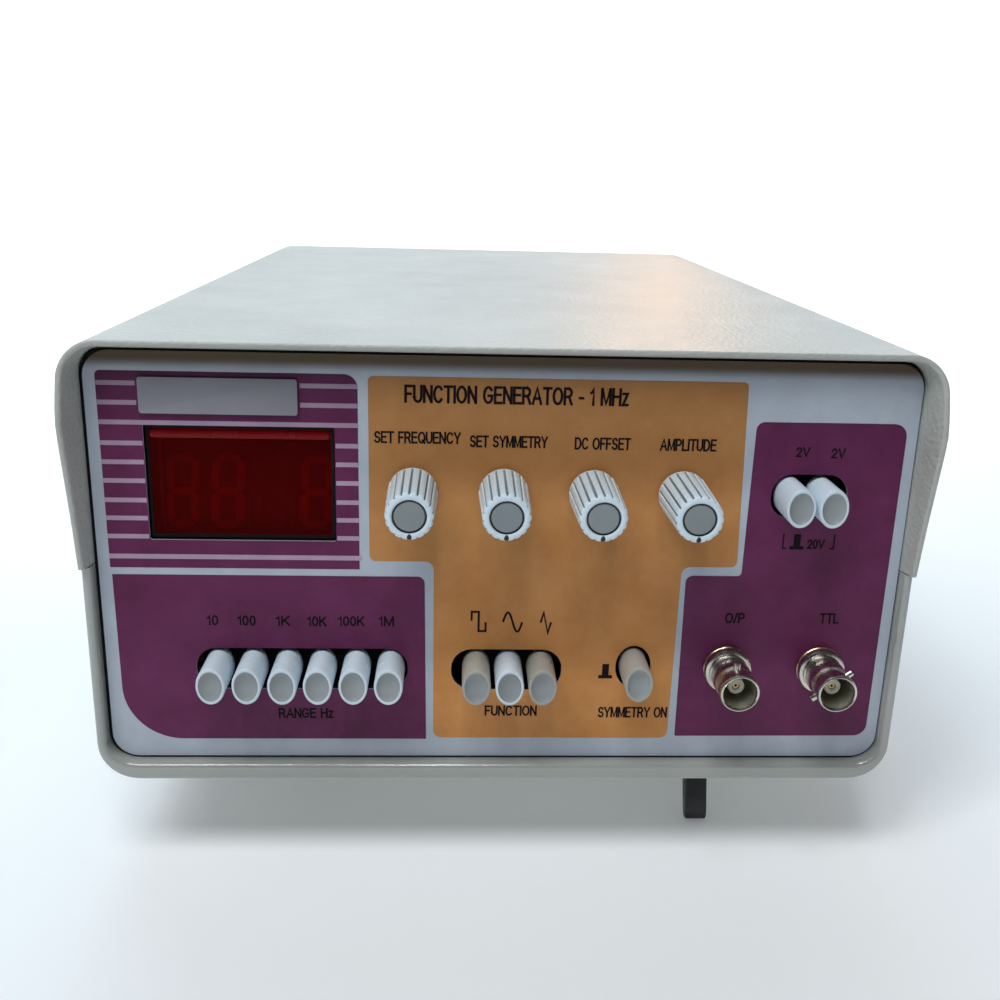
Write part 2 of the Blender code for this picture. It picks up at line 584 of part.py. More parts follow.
def stand_up():
    """Tilt the case onto its open leg and rear feet, centred over the origin."""
    turn = Matrix.Rotation(math.radians(-TILT), 4, "X")
    ROOT.matrix_world = turn
    bpy.context.view_layer.update()
    graph = bpy.context.evaluated_depsgraph_get()
    low = Vector((1e9, 1e9, 1e9))
    high = -low
    for item in PARTS.objects:
        if item.type != "MESH":
            continue
        seen = item.evaluated_get(graph)
        for vert in seen.data.vertices:
            place = seen.matrix_world @ vert.co
            low = Vector(map(min, low, place))
            high = Vector(map(max, high, place))
    middle = (low + high) / 2
    ROOT.matrix_world = Matrix.Translation((-middle.x, -middle.y, -low.z)) @ turn


make_case()
make_legs()
make_front()
make_buttons()
make_knobs()
make_outputs()
make_inside()
make_rear()
stand_up()
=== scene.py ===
import math

import bmesh
import bpy
from mathutils import Matrix, Vector


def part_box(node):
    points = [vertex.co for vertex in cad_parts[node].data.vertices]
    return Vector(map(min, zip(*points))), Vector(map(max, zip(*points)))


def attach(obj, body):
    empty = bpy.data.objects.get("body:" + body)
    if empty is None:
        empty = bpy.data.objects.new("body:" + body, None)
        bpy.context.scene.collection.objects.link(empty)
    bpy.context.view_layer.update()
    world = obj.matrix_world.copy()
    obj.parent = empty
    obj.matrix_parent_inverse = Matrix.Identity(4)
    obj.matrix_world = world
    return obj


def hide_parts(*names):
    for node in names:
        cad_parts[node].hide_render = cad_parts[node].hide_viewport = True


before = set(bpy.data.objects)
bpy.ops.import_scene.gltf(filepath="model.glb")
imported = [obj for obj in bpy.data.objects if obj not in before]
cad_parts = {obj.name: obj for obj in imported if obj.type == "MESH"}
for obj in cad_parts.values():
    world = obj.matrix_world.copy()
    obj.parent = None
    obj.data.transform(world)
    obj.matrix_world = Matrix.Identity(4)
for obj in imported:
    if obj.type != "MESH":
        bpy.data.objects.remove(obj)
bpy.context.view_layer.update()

# Pieces are drawn in the case frame, in millimetres: x right, y back into the case,
# z up, y = 0 on the face of the printed film and z = 0 on the bottom line of its print.
# The frame is found from the film's box: its lower edge is 5.5 mm below z = 0, and its
# back face is 0.4 mm behind y = 0.
TILT = math.radians(4.377)
film_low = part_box("front_film")[0]
film_drop = 0.0055
film_thick = 0.0004
origin = Vector((0.0, film_low.y + film_drop * math.sin(TILT),
                 film_low.z + film_thick * math.sin(TILT) + film_drop * math.cos(TILT)))
TO_ROW = (Matrix.Translation(origin) @ Matrix.Rotation(-TILT, 4, "X")
          @ Matrix.Scale(0.001, 4))

# The case: half its width, its top and bottom, the line between its shells, the lower
# shell's lip ahead of the panel, and how deep it is.
HALF = 101.0
TOP_Z = 102.2
BOTTOM_Z = -10.3
SPLIT = 47.2
WALL = 2.3
JOINT = 0.15
LIP = 3.2
BACK = 269.0
FAR_END = 1000.0
RELIEF_DEEP = 4.5
FLOOR_LIFT = 2.1

# The print on the film: its inks lie one above another.
LAYER = 0.03
FILM_Y = -0.015
WORDS_Y = -0.078

# The controls: where their centres are, and how far they reach.
ROW_Z = 19.4
RANGE_X = [-70.4 + 8.53 * i for i in range(6)]
WAVE_X = [-6.4 + 8.12 * i for i in range(3)]
ATTEN_X = [68.8, 76.6]
ATTEN_Z = 66.2
SYMMETRY = (33.4, 20.4)
BUTTON_WIDE = 3.5
BUTTON_HIGH = 4.8
KNOB_NAMES = ("frequency", "symmetry", "offset", "amplitude")
KNOB_X = [-22.3 + 21.6 * i for i in range(4)]
KNOB_Z = 66.6
KNOB_OUT = 19.5
KNOB_BASE = 6.1
CAP = 3.55
BNC_X = [57.1, 81.0]
BNC_Z = 20.6
BNC_OUT = 14.2

# Legs and feet; a leg's points are y, z.
LEG_X = 56.8
LEG_HALF = 3.0
LEG_PIVOT = (22.0, -13.6)
LEG_TIP = (15.0, -34.8)
LEG_FOLD = math.radians(104.0)
LUG_NEAR = 3.5
LUG_FAR = 6.2
FOOT_X = 80.0
FOOT_Y = 250.0

# The rear face and the centres, x and z, of its fittings.
REAR = 268.0
INLET = (62.0, 26.0)
INLET_SCREW = 16.6
SWITCH = (24.0, 26.0)
FUSE = (-4.0, 26.0)

# The camera, in metres from the case frame's origin and in degrees.
EYE_FROM_ORIGIN = (-0.01243, -0.21931, 0.15846)
EYE_TURN = (70.047, -1.642, -2.111)

# Colours of painted shade: near the top the print is mixed towards them, standing for the shadow of
# the cover's lip.
BROWN_LIP_SHADE = (0.105, 0.070, 0.040)
DARK_LIP_SHADE = (0.030, 0.010, 0.034)


# ---- materials

def new_material(name):
    made = bpy.data.materials.new(name)
    made.use_nodes = True
    tree = made.node_tree
    return made, tree, tree.nodes["Principled BSDF"]


def link(tree, a, b):
    tree.links.new(a, b)


def coordinates(tree):
    return tree.nodes.new("ShaderNodeTexCoord").outputs["Object"]


def noise(tree, scale, detail, rough, vector=None):
    made = tree.nodes.new("ShaderNodeTexNoise")
    made.inputs["Scale"].default_value = scale
    made.inputs["Detail"].default_value = detail
    made.inputs["Roughness"].default_value = rough
    link(tree, vector if vector is not None else coordinates(tree), made.inputs["Vector"])
    return made.outputs["Fac"]


def ramp(tree, fac, stops):
    made = tree.nodes.new("ShaderNodeValToRGB")
    points = made.color_ramp.elements
    while len(points) < len(stops):
        points.new(0.5)
    for point, (place, colour) in zip(points, stops):
        point.position = place
        point.color = (*colour, 1.0)
    link(tree, fac, made.inputs["Fac"])
    return made.outputs["Color"]


def to_range(tree, fac, low, high, from_low, from_high, smooth=False):
    """Carries from_low..from_high over to low..high."""
    made = tree.nodes.new("ShaderNodeMapRange")
    if smooth:
        made.interpolation_type = "SMOOTHERSTEP"
    made.inputs["From Min"].default_value = from_low
    made.inputs["From Max"].default_value = from_high
    made.inputs["To Min"].default_value = low
    made.inputs["To Max"].default_value = high
    link(tree, fac, made.inputs["Value"])
    return made.outputs["Result"]


def bump(tree, shader, height, strength, distance):
    made = tree.nodes.new("ShaderNodeBump")
    made.inputs["Strength"].default_value = strength
    made.inputs["Distance"].default_value = distance
    link(tree, height, made.inputs["Height"])
    link(tree, made.outputs["Normal"], shader.inputs["Normal"])


def tone(tree, shader, patches, dark, light):
    """A colour that drifts between two tones in soft patches."""
    link(tree, ramp(tree, patches, [(0.3, dark), (0.7, light)]), shader.inputs["Base Color"])


def gloss(tree, shader, patches, low, high):
    """A roughness that drifts between two values in soft patches."""
    link(tree, to_range(tree, patches, low, high, 0.3, 0.7), shader.inputs["Roughness"])


def moulded(name, dark, light, rough, grain=0.0, grain_scale=900.0, rough_spread=0.08,
            metallic=0.0, specular=0.5):
    """Plastic, rubber, foil or board: slight tone drift, uneven gloss and an optional grain."""
    made, tree, shader = new_material(name)
    tone(tree, shader, noise(tree, 30.0, 4.0, 0.55), dark, light)
    gloss(tree, shader, noise(tree, 93.0, 3.0, 0.6), rough - rough_spread, rough + rough_spread)
    shader.inputs["Metallic"].default_value = metallic
    shader.inputs["Specular IOR Level"].default_value = specular
    if grain:
        bump(tree, shader, noise(tree, grain_scale, 2.0, 0.5), 0.5, grain)
    return made


def case_plastic(name, dark, light, rough, pebble, coat=0.0):
    """Moulded ABS with an orange-peel face: rounded pebbles about a millimetre across."""
    made, tree, shader = new_material(name)
    tone(tree, shader, noise(tree, 14.0, 4.0, 0.55), dark, light)
    gloss(tree, shader, noise(tree, 45.0, 3.0, 0.6), rough - 0.05, rough + 0.06)
    cells = tree.nodes.new("ShaderNodeTexVoronoi")
    cells.feature = "SMOOTH_F1"
    cells.inputs["Scale"].default_value = 900.0
    cells.inputs["Smoothness"].default_value = 0.8
    link(tree, coordinates(tree), cells.inputs["Vector"])
    fine = noise(tree, 2400.0, 2.0, 0.5)
    mix = tree.nodes.new("ShaderNodeMath")
    mix.operation = "MULTIPLY_ADD"
    mix.inputs[1].default_value = 0.35
    link(tree, fine, mix.inputs[0])
    link(tree, cells.outputs["Distance"], mix.inputs[2])
    bump(tree, shader, mix.outputs["Value"], pebble, 0.00028)
    shader.inputs["Specular IOR Level"].default_value = 0.55
    if coat:
        shader.inputs["Coat Weight"].default_value = coat
        shader.inputs["Coat Roughness"].default_value = 0.12
    return made


def printed(name, dark, light, rough=0.42, specular=0.22, lip_shade=None):
    """Screen-printed film: the ink's faint mottle, a fine film grain and, under the cover's
    lip, a band of painted shade, the lip's shadow, that thins out downwards (amount, lower and
    upper height, colour)."""
    made, tree, shader = new_material(name)
    mottle = noise(tree, 85.0, 5.0, 0.65)
    ink = ramp(tree, mottle, [(0.32, dark), (0.68, light)])
    # Painted shade: near the top the ink is mixed towards a dark colour that stands for the cover's
    # lip's shadow.
    if lip_shade:
        height = tree.nodes.new("ShaderNodeSeparateXYZ")
        link(tree, coordinates(tree), height.inputs["Vector"])
        amount, start, end, shade_colour = lip_shade
        low, high = ((TO_ROW @ Vector((0.0, 0.0, z))).z for z in (start, end))
        band = to_range(tree, height.outputs["Z"], 0.0, amount, low, high, smooth=end - start < 8)
        shaded = tree.nodes.new("ShaderNodeMix")
        shaded.data_type = "RGBA"
        link(tree, band, shaded.inputs["Factor"])
        link(tree, ink, shaded.inputs["A"])
        shaded.inputs["B"].default_value = (*shade_colour, 1.0)
        ink = shaded.outputs["Result"]
    link(tree, ink, shader.inputs["Base Color"])
    gloss(tree, shader, noise(tree, 26.0, 3.0, 0.5), rough - 0.07, rough + 0.07)
    bump(tree, shader, noise(tree, 2600.0, 2.0, 0.5), 0.12, 0.00005)
    shader.inputs["Specular IOR Level"].default_value = specular
    return made


def turned_metal(name, dark, light, rough, axis=1, rings=900.0):
    """Turned or drawn metal: fine tool lines, patches of tarnish and uneven polish."""
    made, tree, shader = new_material(name)
    tone(tree, shader, noise(tree, 160.0, 5.0, 0.6), dark, light)
    gloss(tree, shader, noise(tree, 420.0, 3.0, 0.6), rough - 0.07, rough + 0.1)
    shader.inputs["Metallic"].default_value = 1.0
    mapping = tree.nodes.new("ShaderNodeMapping")
    stretch = [60.0, 60.0, 60.0]
    stretch[axis] = rings * 3.0
    mapping.inputs["Scale"].default_value = stretch
    link(tree, coordinates(tree), mapping.inputs["Vector"])
    lines = noise(tree, 1.0, 2.0, 0.6, vector=mapping.outputs["Vector"])
    bump(tree, shader, lines, 0.25, 0.00004)
    return made


CASE_TOP = case_plastic("case_plastic_top", (0.46, 0.46, 0.42), (0.53, 0.53, 0.49), 0.34, 0.8)
CASE_LOW = case_plastic("case_plastic_bottom", (0.36, 0.365, 0.335), (0.43, 0.435, 0.40), 0.14,
                        0.14, 0.8)
# The film and the inks carry painted shade under the cover's lip, the lip's shadow, strongest at the
# top.
FILM_WHITE = printed("film_white", (0.46, 0.505, 0.585), (0.53, 0.58, 0.65), 0.34, 0.30,
                     (1.0, 93.9, 98.0, BROWN_LIP_SHADE))
INK_PURPLE = printed("ink_purple", (0.118, 0.014, 0.067), (0.160, 0.024, 0.098),
                     lip_shade=(0.5, 76.0, 97.0, DARK_LIP_SHADE))
INK_ORANGE = printed("ink_orange", (0.60, 0.243, 0.063), (0.71, 0.318, 0.100),
                     lip_shade=(0.42, 20.0, 97.0, BROWN_LIP_SHADE))
INK_LILAC = printed("ink_lilac", (0.44, 0.30, 0.42), (0.54, 0.38, 0.50),
                    lip_shade=(0.45, 70.0, 97.0, DARK_LIP_SHADE))
INK_BLACK = printed("ink_black", (0.010, 0.006, 0.008), (0.018, 0.011, 0.014), 0.5, 0.05)
BUTTON_SIDE = moulded("button_barrel", (0.68, 0.79, 0.88), (0.78, 0.88, 0.95), 0.27, 0.00001, 1800)
BUTTON_WARM = moulded("button_barrel_aged", (0.40, 0.38, 0.33), (0.50, 0.48, 0.43), 0.33,
                      0.00001, 1800)
BUTTON_BLUE = moulded("button_barrel_cool", (0.70, 0.80, 0.90), (0.80, 0.88, 0.96), 0.25,
                      0.00001, 1800)
# The buttons' dish: the barrels' plastic drawn darker, painted shade for the forward-facing dish that
# the light from above misses.
BUTTON_DISH_SHADE = moulded("button_dish_painted_shade", (0.30, 0.325, 0.335), (0.38, 0.405, 0.415), 0.36, 0.00002, 1500)
KNOB_WHITE = moulded("knob_plastic", (0.74, 0.88, 0.97), (0.83, 0.94, 0.99), 0.28, 0.00001, 1600,
                    rough_spread=0.02)
# The grooves between the knob's ribs: the knob's white plastic drawn dark grey, painted shade in the
# grooves.
KNOB_GROOVE_SHADE = moulded("knob_groove_painted_shade", (0.26, 0.30, 0.32), (0.34, 0.38, 0.40), 0.5, 0.00001, 1600)
CAP_GREY = moulded("knob_cap_grey", (0.25, 0.28, 0.29), (0.31, 0.34, 0.35), 0.40, 0.00002, 1500)
BLACK = moulded("black_plastic", (0.008, 0.008, 0.009), (0.018, 0.018, 0.019), 0.38, 0.00005, 900)
# A darker, duller copy of the black plastic for parts set back in openings and recesses: painted
# shade.
BLACK_IN_SHADE = moulded("black_recess_painted_shade", (0.004, 0.004, 0.004), (0.009, 0.009, 0.009), 0.6, specular=0.12)
RUBBER = moulded("foot_rubber", (0.014, 0.014, 0.014), (0.028, 0.027, 0.026), 0.75, 0.0001, 700)
NICKEL = turned_metal("nickel", (0.52, 0.48, 0.42), (0.74, 0.70, 0.63), 0.24)
NICKEL_BORE = turned_metal("nickel_bore", (0.46, 0.44, 0.36), (0.62, 0.60, 0.50), 0.5)
BRASS = turned_metal("brass_washer", (0.46, 0.36, 0.20), (0.66, 0.56, 0.38), 0.3)
STEEL = turned_metal("zinc_steel", (0.45, 0.45, 0.46), (0.62, 0.62, 0.64), 0.32)
ALUMINIUM = turned_metal("panel_aluminium", (0.57, 0.57, 0.59), (0.62, 0.62, 0.64), 0.40, 2, 300)
STICKER = moulded("label_foil", (0.24, 0.235, 0.27), (0.30, 0.29, 0.33), 0.42, 0.00001, 2400,
                  metallic=0.35)
INSULATOR = moulded("cream_insulator", (0.72, 0.68, 0.58), (0.82, 0.78, 0.68), 0.45)
CONTACT = turned_metal("contact_gold", (0.50, 0.36, 0.12), (0.75, 0.58, 0.25), 0.25)
BOARD = moulded("board_green", (0.02, 0.10, 0.035), (0.035, 0.15, 0.05), 0.4)
BOARD_PALE = moulded("display_board_pale", (0.50, 0.42, 0.34), (0.62, 0.52, 0.42), 0.6)
WINDING = moulded("winding_tape", (0.50, 0.36, 0.06), (0.66, 0.48, 0.10), 0.45)
DIGIT_BODY = moulded("digit_body", (0.020, 0.010, 0.010), (0.035, 0.016, 0.016), 0.5)
SEGMENT = moulded("digit_segment", (0.20, 0.03, 0.03), (0.26, 0.05, 0.05), 0.5)
SEGMENT_DIM = moulded("digit_segment_dim", (0.040, 0.014, 0.014), (0.055, 0.020, 0.020), 0.5)


def red_filter():
    """Cast red acrylic: it lets red through and keeps a polished, faintly hazed face."""
    made, tree, shader = new_material("red_filter")
    haze = noise(tree, 60.0, 4.0, 0.6)
    tone(tree, shader, haze, (0.110, 0.0006, 0.0010), (0.135, 0.0010, 0.0015))
    gloss(tree, shader, haze, 0.08, 0.16)
    shader.inputs["Specular IOR Level"].default_value = 0.06
    through = tree.nodes.new("ShaderNodeBsdfTransparent")
    through.inputs["Color"].default_value = (0.95, 0.035, 0.025, 1.0)
    mix = tree.nodes.new("ShaderNodeMixShader")
    mix.inputs["Fac"].default_value = 0.35
    out = tree.nodes["Material Output"]
    link(tree, through.outputs["BSDF"], mix.inputs[1])
    link(tree, shader.outputs["BSDF"], mix.inputs[2])
    link(tree, mix.outputs["Shader"], out.inputs["Surface"])
    return made


RED_FILTER = red_filter()
# A brighter red for a strip on the filter near its top: a painted highlight along the filter's top.
RED_FILTER_HIGHLIGHT = moulded("red_filter_painted_highlight", (0.17, 0.0020, 0.0040), (0.24, 0.0040, 0.0070), 0.25,
                   specular=0.15)


# ---- building helpers

def add(name, data):
    made = bpy.data.objects.new(name, data)
    bpy.context.scene.collection.objects.link(made)
    return made


def evaluated_mesh(made):
    """The mesh that an object shows with its curve filled or its modifiers applied."""
    bpy.context.view_layer.update()
    graph = bpy.context.evaluated_depsgraph_get()
    return bpy.data.meshes.new_from_object(made.evaluated_get(graph))


def row_mesh(name, bm):
    """Turns a bmesh drawn in case millimetres into a mesh in the row frame."""
    bmesh.ops.recalc_face_normals(bm, faces=bm.faces)
    mesh = bpy.data.meshes.new(name)
    bm.to_mesh(mesh)
    bm.free()
    mesh.transform(TO_ROW)
    return mesh


def place(name, bm, materials, body="case", stands_for=(), slot=None, smooth=True, angle=38.0):
    """Makes a piece of a bmesh and says which body carries it and what it stands for."""
    mesh = row_mesh(name, bm)
    if not isinstance(materials, (list, tuple)):
        materials = [materials]
    for item in materials:
        mesh.materials.append(item)
    made = add(name, mesh)
    if smooth:
        mesh.shade_smooth()
        mesh.set_sharp_from_angle(angle=math.radians(angle))
    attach(made, body)
    if stands_for:
        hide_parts(*stands_for)
    return made


def lathe_into(bm, profile, centre, steps, axis="front", material=0, stretch=1.0):
    """Turns (radius, height) points about an axis through centre.  axis "front" points at
    the user (-Y), "rear" away (+Y), "up" along +Z and "side" along +X.  stretch makes a
    front piece taller than wide."""
    cx, cy, cz = centre
    rows = []
    for radius, height in profile:
        row = []
        count = 1 if radius < 1e-6 else steps
        for i in range(count):
            turn = 2 * math.pi * i / steps
            a = radius * math.cos(turn)
            b = radius * math.sin(turn)
            if axis == "front":
                spot = (cx + a, cy - height, cz + b * stretch)
            elif axis == "rear":
                spot = (cx + a, cy + height, cz + b)
            elif axis == "up":
                spot = (cx + a, cy + b, cz + height)
            else:
                spot = (cx + height, cy + a, cz + b)
            row.append(bm.verts.new(spot))
        rows.append(row)
    for first, second in zip(rows, rows[1:]):
        for i in range(steps):
            j = (i + 1) % steps
            corners = []
            for item in (first[i % len(first)], first[j % len(first)],
                         second[j % len(second)], second[i % len(second)]):
                if item not in corners:
                    corners.append(item)
            if len(corners) > 2:
                bm.faces.new(corners).material_index = material


def turned(name, profile, centre, steps, material, axis="front", **place_as):
    """A piece of one lathed profile, whose ends are joined where it comes back to its start."""
    bm = bmesh.new()
    lathe_into(bm, profile, centre, steps, axis)
    if profile[0] == profile[-1]:
        bmesh.ops.remove_doubles(bm, verts=bm.verts, dist=0.001)
    place(name, bm, material, **place_as)


def bridge(bm, first, second):
    """Quads between two closed rings of as many points."""
    faces = []
    for i in range(len(first)):
        j = (i + 1) % len(first)
        faces.append(bm.faces.new((first[i], first[j], second[j], second[i])))
    return faces


def eased(bm, edges, faces, bevel, segments=2):
    """Rounds edges and gives the faces that are there afterwards."""
    out = bmesh.ops.bevel(bm, geom=list(edges), offset=bevel, segments=segments, profile=0.5,
                          affect="EDGES", clamp_overlap=True)
    return {face for face in faces if face.is_valid} | set(out["faces"])


def box_into(bm, low, high, material=0, bevel=0.0, segments=2):
    low = Vector(low)
    high = Vector(high)
    shape = Matrix.Translation((low + high) / 2) @ Matrix.Diagonal((*(high - low), 1.0))
    made = bmesh.ops.create_cube(bm, size=1.0, matrix=shape)
    faces = {face for vert in made["verts"] for face in vert.link_faces}
    if bevel:
        edges = {edge for vert in made["verts"] for edge in vert.link_edges}
        faces = eased(bm, edges, faces, bevel, segments)
    for face in faces:
        face.material_index = material


def prism_into(bm, outline, axis, low, high, material, bevel=0.0, segments=2):
    """A polygon pushed along X (outline in y, z), Y (outline in x, z) or Z (outline in x, y)."""
    along = "XYZ".index(axis)
    corners = []
    for point in outline:
        spot = list(point)
        spot.insert(along, low)
        corners.append(bm.verts.new(spot))
    push = Vector((0.0, 0.0, 0.0))
    push[along] = high - low
    face = bm.faces.new(corners)
    moved = bmesh.ops.extrude_face_region(bm, geom=[face])["geom"]
    verts = [item for item in moved if isinstance(item, bmesh.types.BMVert)]
    bmesh.ops.translate(bm, vec=push, verts=verts)
    faces = {item for vert in corners + verts for item in vert.link_faces}
    if bevel:
        rims = [edge for edge in {e for f in faces for e in f.edges}
                if len(edge.link_faces) == 2
                and edge.calc_face_angle(0.0) > math.radians(50)]
        faces = eased(bm, rims, faces, bevel, segments)
    for item in faces:
        item.material_index = material


def bow(cx, cz, rx, rz, start, end, steps=12):
    """Points along an oval arc, from one angle to another in degrees."""
    turns = [math.radians(start + (end - start) * i / steps) for i in range(steps + 1)]
    return [(cx + rx * math.cos(t), cz + rz * math.sin(t)) for t in turns]


def arc(cx, cz, radius, start, end, steps):
    return bow(cx, cz, radius, radius, start, end, steps)


def circle(x, z, radius, steps):
    return arc(x, z, radius, 0, 360 - 360 / steps, steps - 1)


def corner_rounded(points, radii, steps):
    """A polygon whose corners are rounded, each by its own radius."""
    out = []
    count = len(points)
    for i, (point, r) in enumerate(zip(points, radii)):
        here = Vector(point)
        before = (Vector(points[i - 1]) - here).normalized()
        after = (Vector(points[(i + 1) % count]) - here).normalized()
        if r < 0.01:
            out.append((here.x, here.y))
            continue
        half = before.angle(after) / 2
        reach = r / math.tan(half)
        start = here + before * reach
        end = here + after * reach
        centre = here + (before + after).normalized() * (r / math.sin(half))
        a = math.atan2(start.y - centre.y, start.x - centre.x)
        b = math.atan2(end.y - centre.y, end.x - centre.x)
        while b - a > math.pi:
            b -= 2 * math.pi
        while b - a < -math.pi:
            b += 2 * math.pi
        out += [(centre.x + r * math.cos(a + (b - a) * k / steps),
                 centre.y + r * math.sin(a + (b - a) * k / steps)) for k in range(steps + 1)]
    return out


def rounded(x0, x1, z0, z1, radius, steps=8):
    """A rectangle with rounded corners: one radius, or four (low right, high right,
    high left, low left)."""
    radii = radius if isinstance(radius, list) else [radius] * 4
    return corner_rounded([(x1, z0), (x1, z1), (x0, z1), (x0, z0)], radii, steps)


def plate(name, outlines, y0, y1, material, stands_for=(), slot=None):
    """A flat sheet in the panel's plane from y0 back to y1, whose inner outlines are holes."""
    curve = bpy.data.curves.new(name, "CURVE")
    curve.dimensions = "2D"
    curve.fill_mode = "BOTH"
    curve.extrude = (y1 - y0) / 2
    for outline in outlines:
        spline = curve.splines.new("POLY")
        spline.points.add(len(outline) - 1)
        for point, (x, z) in zip(spline.points, outline):
            point.co = (x, z, 0.0, 1.0)
        spline.use_cyclic_u = True
    holder = add(name + "_curve", curve)
    mesh = evaluated_mesh(holder)
    bpy.data.objects.remove(holder)
    turn = Matrix.Translation((0, (y0 + y1) / 2, 0)) @ Matrix.Rotation(math.radians(90), 4, "X")
    bm = bmesh.new()
    bm.from_mesh(mesh)
    bpy.data.meshes.remove(mesh)
    bm.transform(turn)
    bmesh.ops.remove_doubles(bm, verts=bm.verts, dist=0.0005)
    place(name, bm, material, stands_for=stands_for, slot=slot, smooth=False)


# Plain sans-serif capitals as pen strokes on a body one unit tall: (width, strokes).
STEM = [(0, 0), (0, 1)]
RING = bow(0.36, 0.5, 0.36, 0.5, 0, 360, 28)
BOWL = STEM + [(0.3, 1)] + bow(0.3, 0.735, 0.27, 0.265, 90, -90) + [(0, 0.47)]
LETTERS = {
    " ": (0.22, []),
    "A": (0.7, [[(0, 0), (0.35, 1), (0.7, 0)], [(0.12, 0.33), (0.58, 0.33)]]),
    "C": (0.66, [bow(0.35, 0.5, 0.35, 0.5, 42, 318, 18)]),
    "D": (0.64, [[(0, 0), (0, 1), (0.26, 1)] + bow(0.26, 0.5, 0.38, 0.5, 80, -80)
                 + [(0.26, 0), (0, 0)]]),
    "E": (0.54, [[(0.54, 0), (0, 0), (0, 1), (0.53, 1)], [(0, 0.53), (0.48, 0.53)]]),
    "F": (0.5, [[(0, 0), (0, 1), (0.5, 1)], [(0, 0.5), (0.43, 0.5)]]),
    "G": (0.7, [bow(0.36, 0.5, 0.36, 0.5, 42, 322, 18) + [(0.69, 0.46), (0.4, 0.46)]]),
    "H": (0.62, [STEM, [(0.62, 0), (0.62, 1)], [(0, 0.53), (0.62, 0.53)]]),
    "I": (0, [STEM]),
    "K": (0.6, [STEM, [(0.58, 1), (0.02, 0.36)], [(0.21, 0.58), (0.6, 0)]]),
    "L": (0.48, [[(0, 1), (0, 0), (0.48, 0)]]),
    "M": (0.74, [STEM, [(0.03, 1), (0.37, 0.04), (0.71, 1)], [(0.74, 1), (0.74, 0)]]),
    "N": (0.62, [STEM, [(0.02, 0.98), (0.6, 0.02)], [(0.62, 0), (0.62, 1)]]),
    "O": (0.72, [RING]),
    "P": (0.57, [BOWL]),
    "Q": (0.72, [RING, [(0.44, 0.24), (0.72, -0.02)]]),
    "R": (0.61, [BOWL, [(0.3, 0.47), (0.4, 0.42), (0.6, 0)]]),
    "S": (0.58, [bow(0.3, 0.745, 0.26, 0.255, 25, 265)
                 + bow(0.29, 0.255, 0.28, 0.255, 85, -158)]),
    "T": (0.6, [[(0, 1), (0.6, 1)], [(0.3, 1), (0.3, 0)]]),
    "U": (0.61, [[(0, 1), (0, 0.32)] + bow(0.305, 0.32, 0.305, 0.32, 180, 360) + [(0.61, 1)]]),
    "V": (0.66, [[(0, 1), (0.33, 0), (0.66, 1)]]),
    "Y": (0.64, [[(0, 1), (0.32, 0.44), (0.64, 1)], [(0.32, 0.46), (0.32, 0)]]),
    "z": (0.4, [[(0.02, 0.72), (0.38, 0.72), (0.01, 0), (0.4, 0)]]),
    "/": (0.28, [[(0, -0.02), (0.28, 1.02)]]),
    "-": (0.26, [[(0, 0.4), (0.26, 0.4)]]),
    "0": (0.48, [bow(0.24, 0.5, 0.24, 0.5, 0, 360, 24)]),
    "1": (0.22, [[(0, 0.76), (0.12, 0.82), (0.2, 1), (0.2, 0)]]),
    "2": (0.5, [bow(0.25, 0.73, 0.24, 0.27, 175, -32, 10) + [(0.02, 0), (0.5, 0)]]),
}


def both_sides(path, width, closed, sharpest):
    """The points half a width to the left and right of a path, mitred at its bends."""
    count = len(path)
    pairs = []
    for i, here in enumerate(path):
        into = (here - path[i - 1]).normalized() if i or closed else None
        out = (path[(i + 1) % count] - here).normalized() if i < count - 1 or closed else None
        into = into or out
        out = out or into
        bend = into + out
        bend = bend.normalized() if bend.length > 1e-6 else into
        normal = Vector((-bend.y, bend.x))
        reach = width / 2 / max(sharpest, normal.dot(Vector((-into.y, into.x))))
        pairs.append((here + normal * reach, here - normal * reach))
    return pairs


def stroke(points, width):
    """The outline of a line of even width through points, square at its ends."""
    pairs = both_sides([Vector(point) for point in points], width, False, 0.35)
    return [tuple(left) for left, _ in pairs] + [tuple(right) for _, right in reversed(pairs)]


def ribbon_into(bm, points, width, y0, y1):
    """A flat line of even width through points, with square ends reaching half a width."""
    path = [Vector(point) for point in points]
    closed = (path[0] - path[-1]).length < 1e-6
    if closed:
        path.pop()
    else:
        path[0] = path[0] - (path[1] - path[0]).normalized() * width * 0.5
        path[-1] = path[-1] + (path[-1] - path[-2]).normalized() * width * 0.5
    rings = [[bm.verts.new((p.x, y, p.y)) for y in (y0, y1) for p in pair]
             for pair in both_sides(path, width, closed, 0.5)]
    follow = rings[1:] + rings[:1] if closed else rings[1:]
    for near, far in zip(rings, follow):
        for m, n in ((0, 1), (1, 3), (3, 2), (2, 0)):
            bm.faces.new((near[m], near[n], far[n], far[m]))
    if not closed:
        for end in (rings[0], rings[-1]):
            bm.faces.new((end[0], end[1], end[3], end[2]))


def lettering(name, words, x0, x1, z0, z1, weight):
    """Printed words in plain capitals that fill a box in the panel's plane."""
    gap = 0.25
    total = sum(LETTERS[c][0] + gap for c in words) - gap
    tall = z1 - z0 - weight
    across = (x1 - x0 - weight) / total
    bm = bmesh.new()
    at = 0.0
    for c in words:
        wide, strokes = LETTERS[c]
        for line in strokes:
            path = [(x0 + weight / 2 + (at + a) * across, z0 + weight / 2 + b * tall) for a, b in line]
            ribbon_into(bm, path, weight, WORDS_Y, WORDS_Y + LAYER)
        at += wide + gap
    place(name, bm, INK_BLACK, smooth=False)


# ---- case shells

